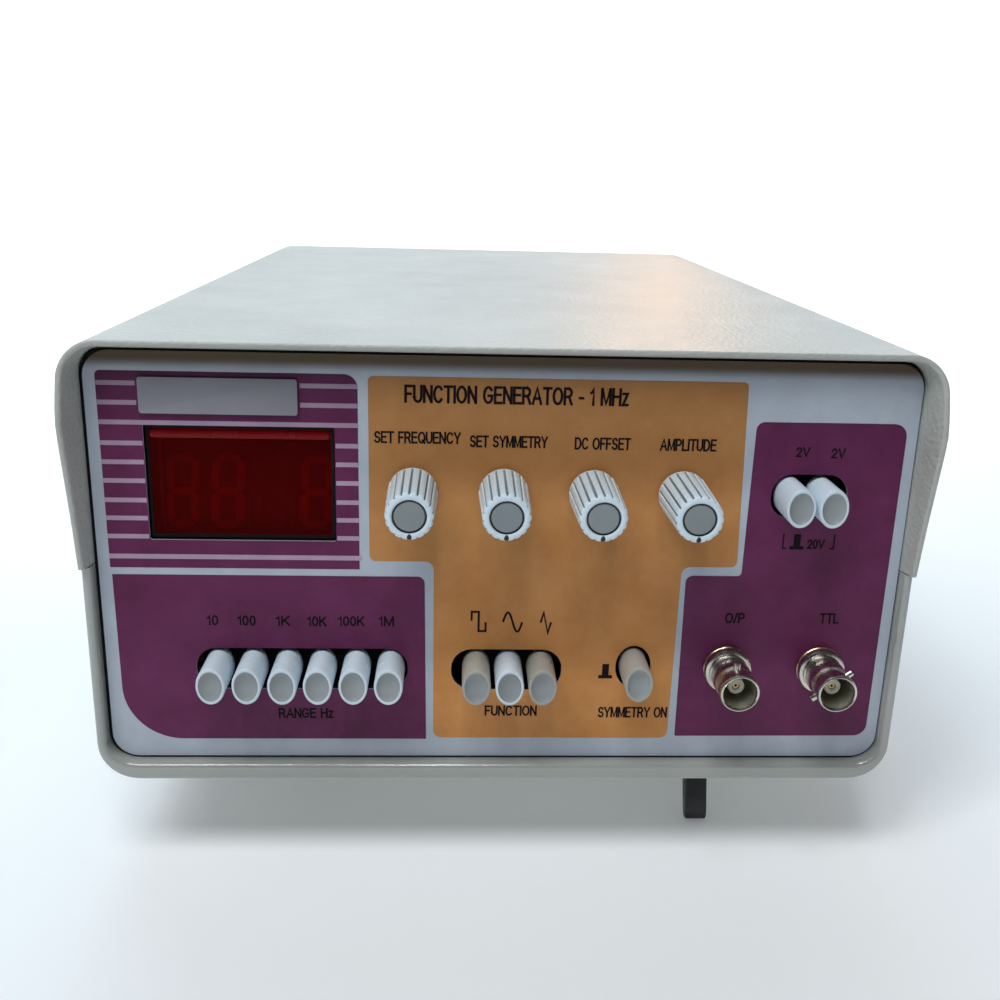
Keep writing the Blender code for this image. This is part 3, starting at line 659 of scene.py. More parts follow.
def visor(z):
    """The depth of the top cover's front edge at a height: it is always ahead of the panel."""
    marks = ((SPLIT, -4.8), (60.0, -6.5), (72.0, -8.5), (80.0, -9.9), (84.5, -10.3), (89.0, -9.5),
             (94.0, -8.0), (98.5, -6.4), (TOP_Z, -5.0))
    for (z0, y0), (z1, y1) in zip(marks, marks[1:]):
        if z <= z1:
            return y0 + (y1 - y0) * max(0.0, z - z0) / (z1 - z0)
    return marks[-1][1]


def towards(start, goal, distance):
    """The point a distance along the way from start to goal."""
    share = distance / (Vector(start) - Vector(goal)).length
    return start[0] + (goal[0] - start[0]) * share, start[1] + (goal[1] - start[1]) * share


def shell_into(bm, section, front_of, back_of, round_edge, marks, relief=0.0):
    """Lofts a thick open section from the front to the back.  section(along) gives the outer
    and inner points at a depth; the two end rims are rounded, and relief thins their inner
    side towards the tip."""
    turns = [math.radians(t) for t in range(0, 91, 15)]
    rim = [(round_edge * (1 - math.cos(t)), round_edge * (1 - math.sin(t))) for t in turns]
    stations = [(along, inset, False) for along, inset in rim]
    stations += [(along, 0.0, False) for along in marks]
    stations += [(along, inset, True) for along, inset in reversed(rim)]
    rings = []
    for along, inset, at_back in stations:
        pairs = list(zip(*section(FAR_END if at_back else along)))
        thinned = inset + relief * max(0.0, 1 - along / RELIEF_DEEP)
        spots = [(outer, towards(outer, inner, inset)) for outer, inner in pairs]
        spots += [(outer, towards(inner, outer, thinned)) for outer, inner in reversed(pairs)]
        ring = []
        for (_, height), (x, z) in spots:
            edge = back_of(height) - along if at_back else front_of(height) + along
            ring.append(bm.verts.new((x, edge, z)))
        rings.append(ring)
    for first, second in zip(rings, rings[1:]):
        bridge(bm, first, second)
    count = len(rings[0])
    for ring in (rings[0], rings[-1]):
        for i in range(count // 2 - 1):
            j = count - 1 - i
            bm.faces.new((ring[i], ring[i + 1], ring[j - 1], ring[j]))


def half_section(edge, flat_z, radius, rows, lift=0.0):
    """The outer and inner points of one shell: from its edge along the left wall, round the
    corner, across the flat at flat_z and back to the edge on the right.  lift thickens a
    floor."""
    way = 1 if flat_z > edge else -1
    centre = flat_z - way * radius
    heights = [edge + k * (centre - edge) / rows for k in range(rows)]
    outer = [(-HALF, z) for z in heights]
    inner = [(-HALF + WALL, z) for z in heights]
    for side, start in ((-1, 180), (1, 180 - 90 * way)):
        x = side * (HALF - radius)
        outer += arc(x, centre, radius, start, start - 90 * way, 10)
        for a, b in arc(x, centre, radius - WALL, start, start - 90 * way, 10):
            share = min(1.0, max(0.0, (centre - b) / (radius - WALL)))
            inner.append((a, b + lift * share))
        if side < 0:
            across = [-HALF + radius + k * 2 * (HALF - radius) / 12 for k in range(1, 12)]
            outer += [(a, flat_z) for a in across]
            inner += [(a, flat_z - way * WALL + lift) for a in across]
    outer += [(HALF, z) for z in reversed(heights)]
    inner += [(HALF - WALL, z) for z in reversed(heights)]
    return outer, inner


def top_section(_):
    return half_section(SPLIT + JOINT, TOP_Z, 8.0, 14)


def bottom_section(along):
    """The lower shell; its floor is thicker at the two ends, where the panels stand on it."""
    lift = FLOOR_LIFT if along < 9.0 or along == FAR_END else 0.0
    return half_section(SPLIT - JOINT, BOTTOM_Z, 10.0, 8, lift)


def make_top_cover():
    bm = bmesh.new()
    shell_into(bm, top_section, visor, lambda z: BACK - visor(z), 0.6,
               (2.5, 4.5, 12.0, 70.0, 140.0), 0.95)
    place("case_top_shell", bm, CASE_TOP, stands_for=["top_cover"], slot="case_plastic")


def make_bottom_cover():
    """The lower shell with its row of vent slots."""
    bm = bmesh.new()
    shell_into(bm, bottom_section, lambda z: -LIP, lambda z: BACK + LIP, 1.1,
               (3.0, 8.9, 9.1, 70.0, 140.0, 200.0, 265.0))
    made = place("case_bottom_shell", bm, CASE_LOW, stands_for=["bottom_cover"],
                 slot="case_plastic")
    slots = bmesh.new()
    for x in range(-36, 37, 12):
        box_into(slots, (x - 1.6, 150, -20), (x + 1.6, 190, -2), bevel=1.2, segments=3)
    cutter = add("vent_cutter", row_mesh("vent_cutter", slots))
    step = made.modifiers.new("vents", "BOOLEAN")
    step.operation = "DIFFERENCE"
    step.solver = "EXACT"
    step.object = cutter
    made.data = evaluated_mesh(made)
    made.modifiers.clear()
    bpy.data.objects.remove(cutter)
    made.data.shade_smooth()
    made.data.set_sharp_from_angle(angle=math.radians(38))


def make_leg_lugs():
    """The pair of lugs that holds each leg's pin."""
    y, z = LEG_PIVOT
    outline = [(y - 5, BOTTOM_Z + 0.6), (y - 4, z - 1.6), (y - 2.2, z - 3.2),
               (y + 2.2, z - 3.2), (y + 4, z - 1.6), (y + 5, BOTTOM_Z + 0.6)]
    for side, x in (("left", -LEG_X), ("right", LEG_X)):
        for where, low_x in (("inner", x - LUG_FAR), ("outer", x + LUG_NEAR)):
            lug = bmesh.new()
            prism_into(lug, outline, "X", low_x, low_x + LUG_FAR - LUG_NEAR, 0, 0.5)
            place(f"leg_lug_{side}_{where}", lug, CASE_LOW, slot="case_plastic")


def make_legs():
    """Both tilt legs with their pins: the right one open and the left one folded."""
    pivot = Vector(LEG_PIVOT)
    tip = Vector(LEG_TIP)
    length = (tip - pivot).length
    along = (tip - pivot).normalized()
    side = Vector((-along.y, along.x))
    stations = [(-2.5, 1.2), (-1.9, 2.1), (-0.8, 2.65), (1.4, 2.85), (4.0, 2.75),
                (length - 7, 2.3), (length - 2.2, 2.0), (length - 0.9, 1.6), (length - 0.2, 0.8)]
    outline = [pivot + along * s + side * w for s, w in stations]
    outline += [pivot + along * s - side * w for s, w in reversed(stations)]
    half_rib = Vector((LEG_HALF + 0.08, 1.2, 0.35))
    for name, x, fold in (("left", -LEG_X, LEG_FOLD), ("right", LEG_X, 0.0)):
        bm = bmesh.new()
        prism_into(bm, [(p.x, p.y) for p in outline], "X", x - LEG_HALF, x + LEG_HALF, 0, 0.5, 3)
        for k in range(3):
            mid = pivot + along * (9 + 3.2 * k)
            centre = Vector((x, mid.x, mid.y))
            box_into(bm, centre - half_rib, centre + half_rib, 0, 0.2)
        hinge = Vector((x, pivot.x, pivot.y))
        turn = (Matrix.Translation(hinge) @ Matrix.Rotation(fold, 4, "X")
                @ Matrix.Translation(-hinge))
        bmesh.ops.transform(bm, matrix=turn, verts=bm.verts)
        lathe_into(bm, [(0, 5.6), (1.1, 5.6), (1.3, 5.3), (1.3, -5.3), (1.1, -5.6), (0, -5.6)],
                   tuple(hinge), 24, "side")
        place(f"flip_leg_{name}", bm, BLACK, body=f"tilt_leg_{name}",
              stands_for=[f"tilt_leg_{name}"], slot="black_plastic")


def make_feet():
    """The two rubber rear feet, each with its screw."""
    foot = [(0, 0), (7.2, 0), (7.5, -0.3), (7.0, -4.6), (6.6, -5.6), (6.0, -6.0), (3.4, -6.0),
            (3.2, -5.8), (3.0, -4.2), (0, -4.2)]
    screw = [(0, -4.0), (0.9, -4.0), (1.1, -4.9), (2.2, -5.1), (2.7, -4.7), (2.7, -4.25),
             (0, -4.25)]
    for name, x in (("left", -FOOT_X), ("right", FOOT_X)):
        spot = (x, FOOT_Y, BOTTOM_Z - 0.3)
        turned(f"rubber_foot_{name}", foot, spot, 40, RUBBER, "up",
               stands_for=[f"rear_foot_{name}"], slot="foot_rubber")
        turned(f"foot_screw_{name}", screw, spot, 24, STEEL, "up", slot="steel")


# ---- panel and its print

PANEL = rounded(-97.8, 98.4, -5.2, 99.2, 6.3, 10)
SLOTS = {
    "range": rounded(-75.8, -23.5, ROW_Z - 5.6, ROW_Z + 5.6, 5.1, 10),
    "wave": rounded(-12.6, 15.2, ROW_Z - 5.6, ROW_Z + 5.6, 5.1, 10),
    "atten": rounded(64.3, 83.0, ATTEN_Z - 5.6, ATTEN_Z + 5.6, 5.1, 10),
    "symmetry": [(SYMMETRY[0] + 4.5 * a, SYMMETRY[1] + 5.8 * b) for a, b in circle(0, 0, 1, 48)],
}
WINDOW = rounded(-85.0, -40.7, 53.4, 81.7, 0.5, 3)
KNOB_HOLES = [circle(x, KNOB_Z, 4.3, 32) for x in KNOB_X]
BNC_HOLES = [circle(x, BNC_Z, 5.25, 32) for x in BNC_X]
STRIPES = [91.6, 87.0, 82.3, 77.3, 72.7, 68.1, 63.3, 58.8, 54.2]


def print_area(name, outlines, colour, layer=0):
    """One printed area; layer 1 lies on top of layer 0."""
    front = FILM_Y - layer * LAYER
    plate("print_" + name, outlines, front, front + LAYER, colour, slot="printed_film")


def make_print():
    """The film, its four blocks of colour and the pale stripes across the readout block."""
    holes = list(SLOTS.values()) + [WINDOW] + KNOB_HOLES + BNC_HOLES
    plate("panel_film", [PANEL] + holes, 0.03, 0.4, FILM_WHITE, stands_for=["front_film"],
          slot="printed_film")
    around_readout = rounded(-95.0, -35.2, 46.2, 94.5, [0, 3.2, 1.2, 0])
    print_area("readout_block", [around_readout, WINDOW], INK_PURPLE)

    left, right = -95.05, -35.15
    stripes = []
    for i, z in enumerate(STRIPES):
        # The label breaks the first two and the window the last six; the third runs across.
        if i == 2:
            stripes.append(("2a", left, right, z, 0.56))
        else:
            left_end, right_start = (-86.0, -48.5) if i < 2 else (-85.2, -40.5)
            stripes.append((f"{i}a", left, left_end, z, 0.56))
            stripes.append((f"{i}b", right_start, right, z, 0.56))
    stripes.append(("low", left, -34.6, 49.1, 0.6))
    for name, x0, x1, z, half in stripes:
        print_area("stripe_" + name, [rounded(x0, x1, z - half, z + half, 0.0)], INK_LILAC, 1)

    low = corner_rounded([(-94.7, 44.4), (-94.4, -0.3), (-18.8, -0.3), (-19.4, 44.4)],
                         [0.0, 14.5, 0.0, 1.8], 14)
    print_area("range_block", [low, SLOTS["range"]], INK_PURPLE)
    tee = corner_rounded([(-32.8, 94.2), (-32.8, 48.4), (-17.2, 48.4), (-17.0, 0.1), (43.4, 0.1),
                          (43.9, 47.6), (57.6, 47.6), (56.4, 94.2)],
                         [1.2, 1.6, 2.2, 2.2, 2.0, 2.2, 1.6, 1.2], 6)
    print_area("control_block", [tee, SLOTS["wave"], SLOTS["symmetry"]] + KNOB_HOLES, INK_ORANGE)
    ell = corner_rounded([(59.2, 84.7), (58.9, 45.3), (45.1, 45.3), (45.4, 0.7), (95.6, 0.9),
                          (95.8, 84.7)], [2.0, 1.0, 1.8, 0.3, 3.2, 3.2], 6)
    print_area("output_block", [ell, SLOTS["atten"]] + BNC_HOLES, INK_PURPLE)


def make_panel_gap():
    """A black sheet just behind the gap between the panel and the case, all the way round: painted
    shade that keeps the gap dark.
    """
    wall = rounded(-98.68, 98.68, -5.88, 99.88, 7.2, 10)
    plate("panel_gap_painted_shade", [wall, PANEL], 0.5, 2.6, BLACK_IN_SHADE, slot="black_plastic")


def make_words():
    """The control names, ranges and waveform symbols, each word in its own box."""
    words = [
        ("title", "FUNCTION GENERATOR - 1 MHz", -24.4, 28.2, 88.0, 92.3, 0.62),
        ("frequency", "SET FREQUENCY", -31.5, -11.1, 78.2, 81.1, 0.43),
        ("symmetry", "SET SYMMETRY", -9.0, 9.5, 77.5, 80.4, 0.43),
        ("offset", "DC OFFSET", 15.9, 29.3, 77.3, 80.3, 0.43),
        ("amplitude", "AMPLITUDE", 36.3, 49.9, 77.3, 80.3, 0.43),
        ("range_10", "10", -72.7, -69.9, 31.1, 33.8, 0.42),
        ("range_100", "100", -65.2, -60.8, 31.1, 33.8, 0.42),
        ("range_1k", "1K", -55.9, -52.5, 31.1, 33.8, 0.42),
        ("range_10k", "10K", -48.2, -43.5, 31.0, 33.7, 0.42),
        ("range_100k", "100K", -40.6, -34.2, 31.1, 33.8, 0.42),
        ("range_1m", "1M", -30.7, -26.9, 31.1, 33.8, 0.42),
        ("range_title", "RANGE Hz", -56.0, -42.3, 5.6, 8.4, 0.43),
        ("function", "FUNCTION", -3.9, 9.4, 6.4, 9.3, 0.43),
        ("symmetry_on", "SYMMETRY ON", 25.1, 43.0, 6.0, 9.0, 0.43),
        ("output", "O/P", 55.8, 60.8, 32.6, 35.4, 0.43),
        ("ttl", "TTL", 79.9, 84.8, 32.7, 35.5, 0.43),
        ("two_volt_a", "2V", 69.3, 72.7, 76.2, 78.7, 0.42),
        ("two_volt_b", "2V", 77.9, 81.4, 76.0, 78.5, 0.42),
        ("twenty_volt", "20V", 74.5, 78.9, 52.7, 55.2, 0.42),
    ]
    for name, said, x0, x1, z0, z1, weight in words:
        lettering("words_" + name, said, x0, x1, z0, z1, weight)

    symbol_y = (-0.06, -0.03)
    square = [(-7.7, 32.8), (-7.7, 35.2), (-5.95, 35.2), (-5.95, 30.0), (-4.2, 30.0), (-4.2, 32.4)]
    sine = [(0.1 + 4.8 * k / 24, 32.5 + 2.6 * math.sin(2 * math.pi * k / 24)) for k in range(25)]
    saw = [(9.5, 32.4), (10.2, 35.1), (11.35, 29.6), (12.1, 32.5)]
    for name, line in (("square", square), ("sine", sine), ("triangle", saw)):
        plate(f"symbol_{name}", [stroke(line, 0.52)], *symbol_y, INK_BLACK)
    for name, x, z in (("symmetry", 24.7, 17.1), ("attenuator", 70.2, 52.5)):
        pushed = [(x, z), (x + 3.5, z), (x + 3.5, z + 0.9), (x + 2.6, z + 0.9),
                  (x + 2.6, z + 4.0), (x + 0.9, z + 4.0), (x + 0.9, z + 0.9), (x, z + 0.9)]
        plate(f"symbol_pushed_{name}", [pushed], *symbol_y, INK_BLACK)
    left = [(68.5, 56.6), (68.5, 52.8), (69.5, 52.8)]
    right = [(80.3, 52.8), (81.2, 52.8), (81.2, 56.6)]
    for name, line in (("left", left), ("right", right)):
        plate(f"symbol_bracket_{name}", [stroke(line, 0.36)], *symbol_y, INK_BLACK)


def make_label():
    """A blank foil label: a thin stiff sheet with eased corners and edges."""
    bm = bmesh.new()
    prism_into(bm, rounded(-85.4, -49.0, 84.6, 93.2, 0.7, 4), "Y", -0.72, -0.28, 0, 0.12)
    place("blank_label", bm, STICKER, stands_for=["label_plate"], slot="label_plate")


# ---- readout

def segment_outline(x0, z0, x1, z1, width):
    """One segment bar with pointed ends, lying along its longer side."""
    half = width / 2
    if abs(x1 - x0) > abs(z1 - z0):
        return [(x0, z0), (x0 + half, z0 + half), (x1 - half, z1 + half), (x1, z1),
                (x1 - half, z1 - half), (x0 + half, z0 - half)]
    return [(x0, z0), (x0 - half, z0 + half), (x1 - half, z1 - half), (x1, z1),
            (x1 + half, z1 - half), (x0 + half, z0 + half)]


def make_digit_pair(pair, x0, x1, shifts, shades):
    """A block with two raised seven-segment digits that lean a little, and their points."""
    bm = bmesh.new()
    box_into(bm, (x0, 5.5, 51.6), (x1, 9.0, 76.6), 0, 0.25)
    low = 55.6
    mid = 64.0
    high = 72.4
    for k, (shift, shade) in enumerate(zip(shifts, shades)):
        centre = x0 + (x1 - x0) / 2 * (k + 0.5) + shift
        left = centre - 3.0
        right = centre + 3.0
        bars = [(left, z, right, z) for z in (high, mid, low)]
        bars += [(x, z + 0.2, x, z + (high - mid) - 0.2) for z in (mid, low) for x in (left, right)]
        for bar in bars:
            leaning = [(a + (b - mid) / 16, b) for a, b in segment_outline(*bar, 2.0)]
            prism_into(bm, leaning, "Y", 5.35, 5.6, shade)
        lathe_into(bm, [(0, 0.15), (0.75, 0.15), (0.75, -0.1), (0, -0.1)],
                   (right + 1.7, 5.5, low - 0.2), 20, "front", 2)
    place(f"digit_module_{pair}", bm, [DIGIT_BODY, SEGMENT, SEGMENT_DIM],
          stands_for=[f"digit_pair_{pair}"], slot="digit_block")


def make_readout():
    """The bezel and mask round the red filter, with the digits on their board behind it."""
    plate("readout_bezel", [rounded(-87.3, -38.5, 48.8, 84.0, 0.8, 3),
                            rounded(-84.9, -40.9, 51.2, 81.6, 0.4, 3)], 3.0, 9.0, BLACK_IN_SHADE,
          stands_for=["display_bezel"], slot="black_plastic")
    plate("readout_mask", [rounded(-84.7, -41.0, 53.7, 81.4, 0.3, 3),
                           rounded(-84.1, -41.7, 54.6, 80.9, 0.3, 3)], 0.9, 0.97, BLACK_IN_SHADE,
          slot="black_plastic")
    lens = bmesh.new()
    prism_into(lens, rounded(-84.75, -40.95, 53.65, 81.45, 0.3, 3), "Y", 1.0, 4.9, 0, 0.1)
    prism_into(lens, rounded(-84.6, -41.2, 51.5, 53.6, 0.0), "Y", 3.4, 4.9, 0, 0.1)
    bmesh.ops.dissolve_degenerate(lens, dist=0.001, edges=lens.edges)
    place("readout_filter", lens, RED_FILTER, stands_for=["display_window"], slot="red_filter",
          smooth=False)
    # A brighter red strip in front of the filter near its top: a painted highlight.
    edge = bmesh.new()
    prism_into(edge, rounded(-83.7, -42.1, 78.5, 80.4, 0.6, 4), "Y", 0.9, 0.98, 0, 0.03)
    place("readout_filter_painted_highlight", edge, RED_FILTER_HIGHLIGHT, slot="red_filter")
    shelf = bmesh.new()
    box_into(shelf, (-84.7, 9.1, 50.0), (-41.1, 11.3, 81.5), 0, 0.2)
    box_into(shelf, (-84.6, 5.4, 77.4), (-41.3, 9.0, 81.2), 0, 0.2)
    place("readout_board_front", shelf, BOARD_PALE, slot="board_green")
    make_digit_pair(1, -82.6, -62.4, (-0.5, 0.2), (1, 1))
    make_digit_pair(2, -62.1, -41.9, (0.1, 1.1), (2, 1))


# ---- controls

def make_button(label, x, z, side, out=9.6):
    """An oval push button: rolled rim, deep dish, straight barrel and a round stem.  The label
    range_10 is drawn as push_range_10 for the node range_button_10."""
    family, _, rest = label.partition("_")
    node = f"{family}_button_{rest}" if rest else f"{family}_button"
    r = BUTTON_WIDE
    oval = BUTTON_HIGH / BUTTON_WIDE
    bm = bmesh.new()
    dish = [(0, out - 1.15), (0.8, out - 1.13), (1.5, out - 1.02), (2.05, out - 0.82),
            (2.45, out - 0.55), (2.72, out - 0.26), (2.86, out - 0.08)]
    # The dish takes the darker dish colour: painted shade.
    lathe_into(bm, dish, (x, 0, z), 56, "front", 1, oval)
    rim = [(2.86, out - 0.08), (2.98, out - 0.01), (3.12, out), (3.28, out - 0.04),
           (3.42, out - 0.16), (r, out - 0.42), (r, 0.4), (r, -2.2), (r - 0.15, -2.4),
           (0, -2.4)]
    lathe_into(bm, rim, (x, 0, z), 56, "front", 0, oval)
    lathe_into(bm, [(0, -2.3), (1.4, -2.3), (1.4, -19.8), (1.2, -20.0), (0, -20.0)], (x, 0, z), 24,
               "front")
    bmesh.ops.remove_doubles(bm, verts=bm.verts, dist=0.001)
    place("push_" + label, bm, [side, BUTTON_DISH_SHADE], body=node, stands_for=[node],
          slot="button_plastic")


def make_buttons():
    """The twelve buttons; the range row doesn't stand perfectly even."""
    labels = ("10", "100", "1k", "10k", "100k", "1m")
    outs = (9.6, 9.5, 9.6, 9.6, 9.5, 9.55)
    for label, x, out in zip(labels, RANGE_X, outs):
        make_button("range_" + label, x, ROW_Z, BUTTON_SIDE, out)
    for label, x, side in zip(("square", "sine", "triangle"), WAVE_X,
                              (BUTTON_WARM, BUTTON_BLUE, BUTTON_WARM)):
        make_button("wave_" + label, x, ROW_Z, side)
    for label, x in zip(("a", "b"), ATTEN_X):
        make_button("attenuator_" + label, x, ATTEN_Z, BUTTON_SIDE)
    make_button("symmetry", *SYMMETRY, BUTTON_WARM)


def knob_body(x):
    """The ribbed shell of a knob: eighteen round ribs that fade out over its rim; the grooves on
    the barrel take the dark groove colour, painted shade.
    """
    ribs = 18
    per = 12
    bm = bmesh.new()

    def ring_of(radius, out, depth=0.0):
        row = []
        for i in range(ribs * per):
            turn = 2 * math.pi * (i + 0.5) / (ribs * per)
            away = abs((i % per + 0.5) / per - 0.5)
            groove = min(1.0, max(0.0, (0.15 - away) / 0.09))
            crown = 0.10 * (1.0 - 4 * (0.5 - away) ** 2) if depth else 0.0
            r = min(KNOB_BASE, radius - depth * groove + crown)
            row.append(bm.verts.new((x + r * math.cos(turn), -out, KNOB_Z + r * math.sin(turn))))
        return row

    top = KNOB_OUT
    rows = [ring_of(*level) for level in (
        (5.7, 0.8), (5.9, 1.0), (5.93, 1.6), (5.92, 1.9, 0.8), (5.44, top - 1.3, 0.8),
        (5.42, top - 0.95, 0.5), (5.36, top - 0.65, 0.32), (5.22, top - 0.35, 0.14),
        (4.95, top - 0.12), (4.55, top), (4.25, top - 0.03), (3.98, top - 0.2), (3.86, top - 0.5),
        (3.85, top - 1.5))]
    for k, (first, second) in enumerate(zip(rows, rows[1:])):
        for i, face in enumerate(bridge(bm, first, second)):
            # Painted shade: the groove faces along the barrel get the dark groove colour.
            if 2 <= k <= 4 and i % per in (4, 5, 6):
                face.material_index = 1
    bm.faces.new(rows[-1])
    hollow = [rows[0], ring_of(4.6, 0.8), ring_of(4.6, 6.0)]
    bridge(bm, hollow[0], hollow[1])
    bridge(bm, hollow[1], hollow[2])
    bm.faces.new(hollow[2])
    return bm


def make_knob(label, x):
    """A collet knob with its grey cap in a dark ring, a black pointer dot low on its rim, and
    a washer behind it."""
    node = "knob_" + label
    name = "turn_" + label
    centre = (x, 0, KNOB_Z)
    dot = (x, 0, KNOB_Z - 4.62)
    top = KNOB_OUT
    place(name, knob_body(x), [KNOB_WHITE, KNOB_GROOVE_SHADE], body=node, stands_for=[node],
          slot="knob_plastic", angle=28)
    ring = [(CAP, top - 1.3), (CAP + 0.02, top - 0.42), (CAP + 0.27, top - 0.36),
            (CAP + 0.3, top - 1.3), (CAP, top - 1.3)]
    turned(name + "_ring", ring, centre, 64, BLACK, body=node, slot="black_plastic")
    cap = [(0, top - 0.36), (1.6, top - 0.33), (2.9, top - 0.3), (3.35, top - 0.34),
           (3.5, top - 0.5), (CAP - 0.02, top - 1.2), (0, top - 1.2)]
    turned(name + "_cap", cap, centre, 64, CAP_GREY, body=node, stands_for=[node + "_cap"],
           slot="cap_plastic")
    pointer = [(0, top + 0.1), (0.45, top + 0.06), (0.66, top - 0.15), (0.68, top - 2.2),
               (0, top - 2.2)]
    turned(name + "_pointer", pointer, dot, 24, BLACK, body=node, slot="black_plastic")
    washer = [(4.0, 0.35), (4.2, 0.55), (4.9, 0.55), (5.1, 0.35), (5.1, 0.06), (4.0, 0.06),
              (4.0, 0.35)]
    turned(name + "_washer", washer, centre, 36, STEEL, slot="steel")


def make_bnc(label, x, lean):
    """A panel BNC socket: barrel with its two bayonet lugs, collar, washer and contact."""
    centre = (x, 0, BNC_Z)
    o = BNC_OUT
    bm = bmesh.new()
    barrel = [(4.06, o - 0.7), (4.2, o - 0.15), (4.45, o), (4.68, o - 0.08), (4.85, o - 0.4),
              (4.85, o - 1.5), (4.7, o - 1.8), (4.42, o - 1.95), (4.34, o - 2.3), (4.34, o - 3.9),
              (4.42, o - 4.3), (4.7, o - 4.75), (4.84, o - 5.1), (4.86, o - 5.4), (4.86, 4.7),
              (4.72, 4.5), (4.6, 4.3), (4.6, 4.0), (4.84, 3.8), (4.84, 3.3)]
    lathe_into(bm, barrel, centre, 56)
    lathe_into(bm, [(4.84, 3.3), (4.05, 3.3), (4.05, o - 0.7)], centre, 56, "front", 1)
    bmesh.ops.remove_doubles(bm, verts=bm.verts, dist=0.02)
    for sign in (-1, 1):
        way = Vector((math.sin(lean), 0, math.cos(lean))) * sign
        turn = way.to_track_quat("Z", "Y").to_matrix().to_4x4()
        base = Vector((x, 4.6 - o, BNC_Z)) + way * 4.1
        lug = bmesh.ops.create_cone(bm, cap_ends=True, segments=20, radius1=0.95, radius2=0.85,
                                    depth=1.9, matrix=Matrix.Translation(base + way * 0.95) @ turn)
        edges = {e for v in lug["verts"] for e in v.link_edges
                 if all((end.co - base).dot(way) > 1.7 for end in e.verts)}
        eased(bm, edges, [], 0.2)
    place(f"bnc_shell_{label}", bm, [NICKEL, NICKEL_BORE], stands_for=[f"bnc_{label}_body"],
          slot="nickel")
    collar = [(4.9, 3.2), (5.4, 3.15), (5.75, 2.95), (5.85, 2.6), (5.85, 1.5), (5.6, 1.3),
              (5.3, 1.2), (5.3, 0.95), (4.9, 0.95), (4.9, 3.2)]
    turned(f"bnc_collar_{label}", collar, centre, 48, NICKEL, slot="nickel")
    washer = [(4.95, 0.9), (5.0, 1.1), (5.7, 1.1), (5.88, 0.9), (5.88, 0.1), (4.95, 0.1),
              (4.95, 0.9)]
    turned(f"bnc_washer_{label}", washer, centre, 48, BRASS, slot="nickel")
    insulator = [(0, 3.3), (3.75, 3.3), (3.75, 4.0), (3.6, 4.1), (2.15, 4.1), (2.05, 4.4),
                 (2.0, 10.2), (1.85, 10.3), (1.1, 10.3), (0.85, 10.0), (0.85, 4.2), (0, 4.2)]
    turned(f"bnc_insulator_{label}", insulator, centre, 40, INSULATOR,
           stands_for=[f"bnc_{label}_insulator"], slot="insulator")
    contact = [(0, 6.0), (0.3, 6.0), (0.3, 9.6), (0.4, 9.8), (0.68, 9.8), (0.75, 9.6),
               (0.78, 4.3), (0, 4.3)]
    turned(f"bnc_contact_{label}", contact, centre, 24, CONTACT, slot="nickel")


# ---- rear fittings

def make_inlet():
    """The mains inlet: a flange with ears, a socket box with three blades and two screws."""
    x, z = INLET
    y = REAR
    ears = corner_rounded([(x - 19.8, z - 6), (x - 14, z - 12), (x + 14, z - 12), (x + 19.8, z - 6),
                           (x + 19.8, z + 6), (x + 14, z + 12), (x - 14, z + 12),
                           (x - 19.8, z + 6)], [3] * 8, 4)
    pocket = rounded(x - 12, x + 12, z - 8.2, z + 8.2, [1.2, 5.0, 5.0, 1.2], 5)
    walls = rounded(x - 13.7, x + 13.7, z - 10.2, z + 10.2, 1.0, 3)
    screws = [circle(x + side * INLET_SCREW, z, 1.6, 20) for side in (-1, 1)]
    plate("inlet_flange", [ears, pocket] + screws, y + 0.3, y + 2.5, BLACK,
          stands_for=["mains_inlet"], slot="black_plastic")
    plate("inlet_socket", [walls, pocket], y - 14.0, y + 0.2, BLACK, slot="black_plastic")
    plate("inlet_back", [walls], y - 16.0, y - 14.1, BLACK, slot="black_plastic")
    for i, (dx, dz) in enumerate(((-7, 1.5), (0, -2.0), (7, 1.5)), 1):
        pin = bmesh.new()
        box_into(pin, (x + dx - 1, y - 16, z + dz - 2), (x + dx + 1, y - 1.2, z + dz + 2), 0, 0.35, 3)
        place(f"inlet_blade_{i}", pin, NICKEL, slot="nickel")
    head = [(0, 3.2), (0.9, 3.15), (2.2, 2.75), (2.75, 2.55), (2.75, 2.5), (0, 2.5)]
    for name, screw_x in (("left", x - INLET_SCREW), ("right", x + INLET_SCREW)):
        turned("inlet_screw_" + name, head, (screw_x, y, z), 32, STEEL, "rear", slot="steel")


def make_switch():
    """The power switch: its frame, the walls behind it and the rocker."""
    x, z = SWITCH
    y = REAR
    opening = rounded(x - 8, x + 8, z - 5, z + 5, 0.4, 3)
    plate("switch_frame", [rounded(x - 11, x + 11, z - 7.8, z + 7.8, 1.0, 4), opening], y + 0.3,
          y + 1.95, BLACK, stands_for=["power_switch"], slot="black_plastic")
    plate("switch_walls", [rounded(x - 9.3, x + 9.3, z - 6.2, z + 6.2, 0.5, 3), opening], y - 16,
          y + 0.2, BLACK_IN_SHADE, slot="black_plastic")
    side_view = [(x - 7.3, y + 1.2), (x - 3.6, y - 0.5), (x, y - 1.1), (x + 3.6, y + 0.6),
                 (x + 7.2, y + 3.0), (x + 7.2, y + 1.4), (x + 4.6, y - 4.7), (x - 4.6, y - 4.7),
                 (x - 7.3, y - 0.3)]
    rocker = bmesh.new()
    prism_into(rocker, side_view, "Z", z - 4.6, z + 4.6, 0, 0.35)
    place("switch_rocker", rocker, BLACK, body="power_rocker", stands_for=["power_rocker"],
          slot="black_plastic")


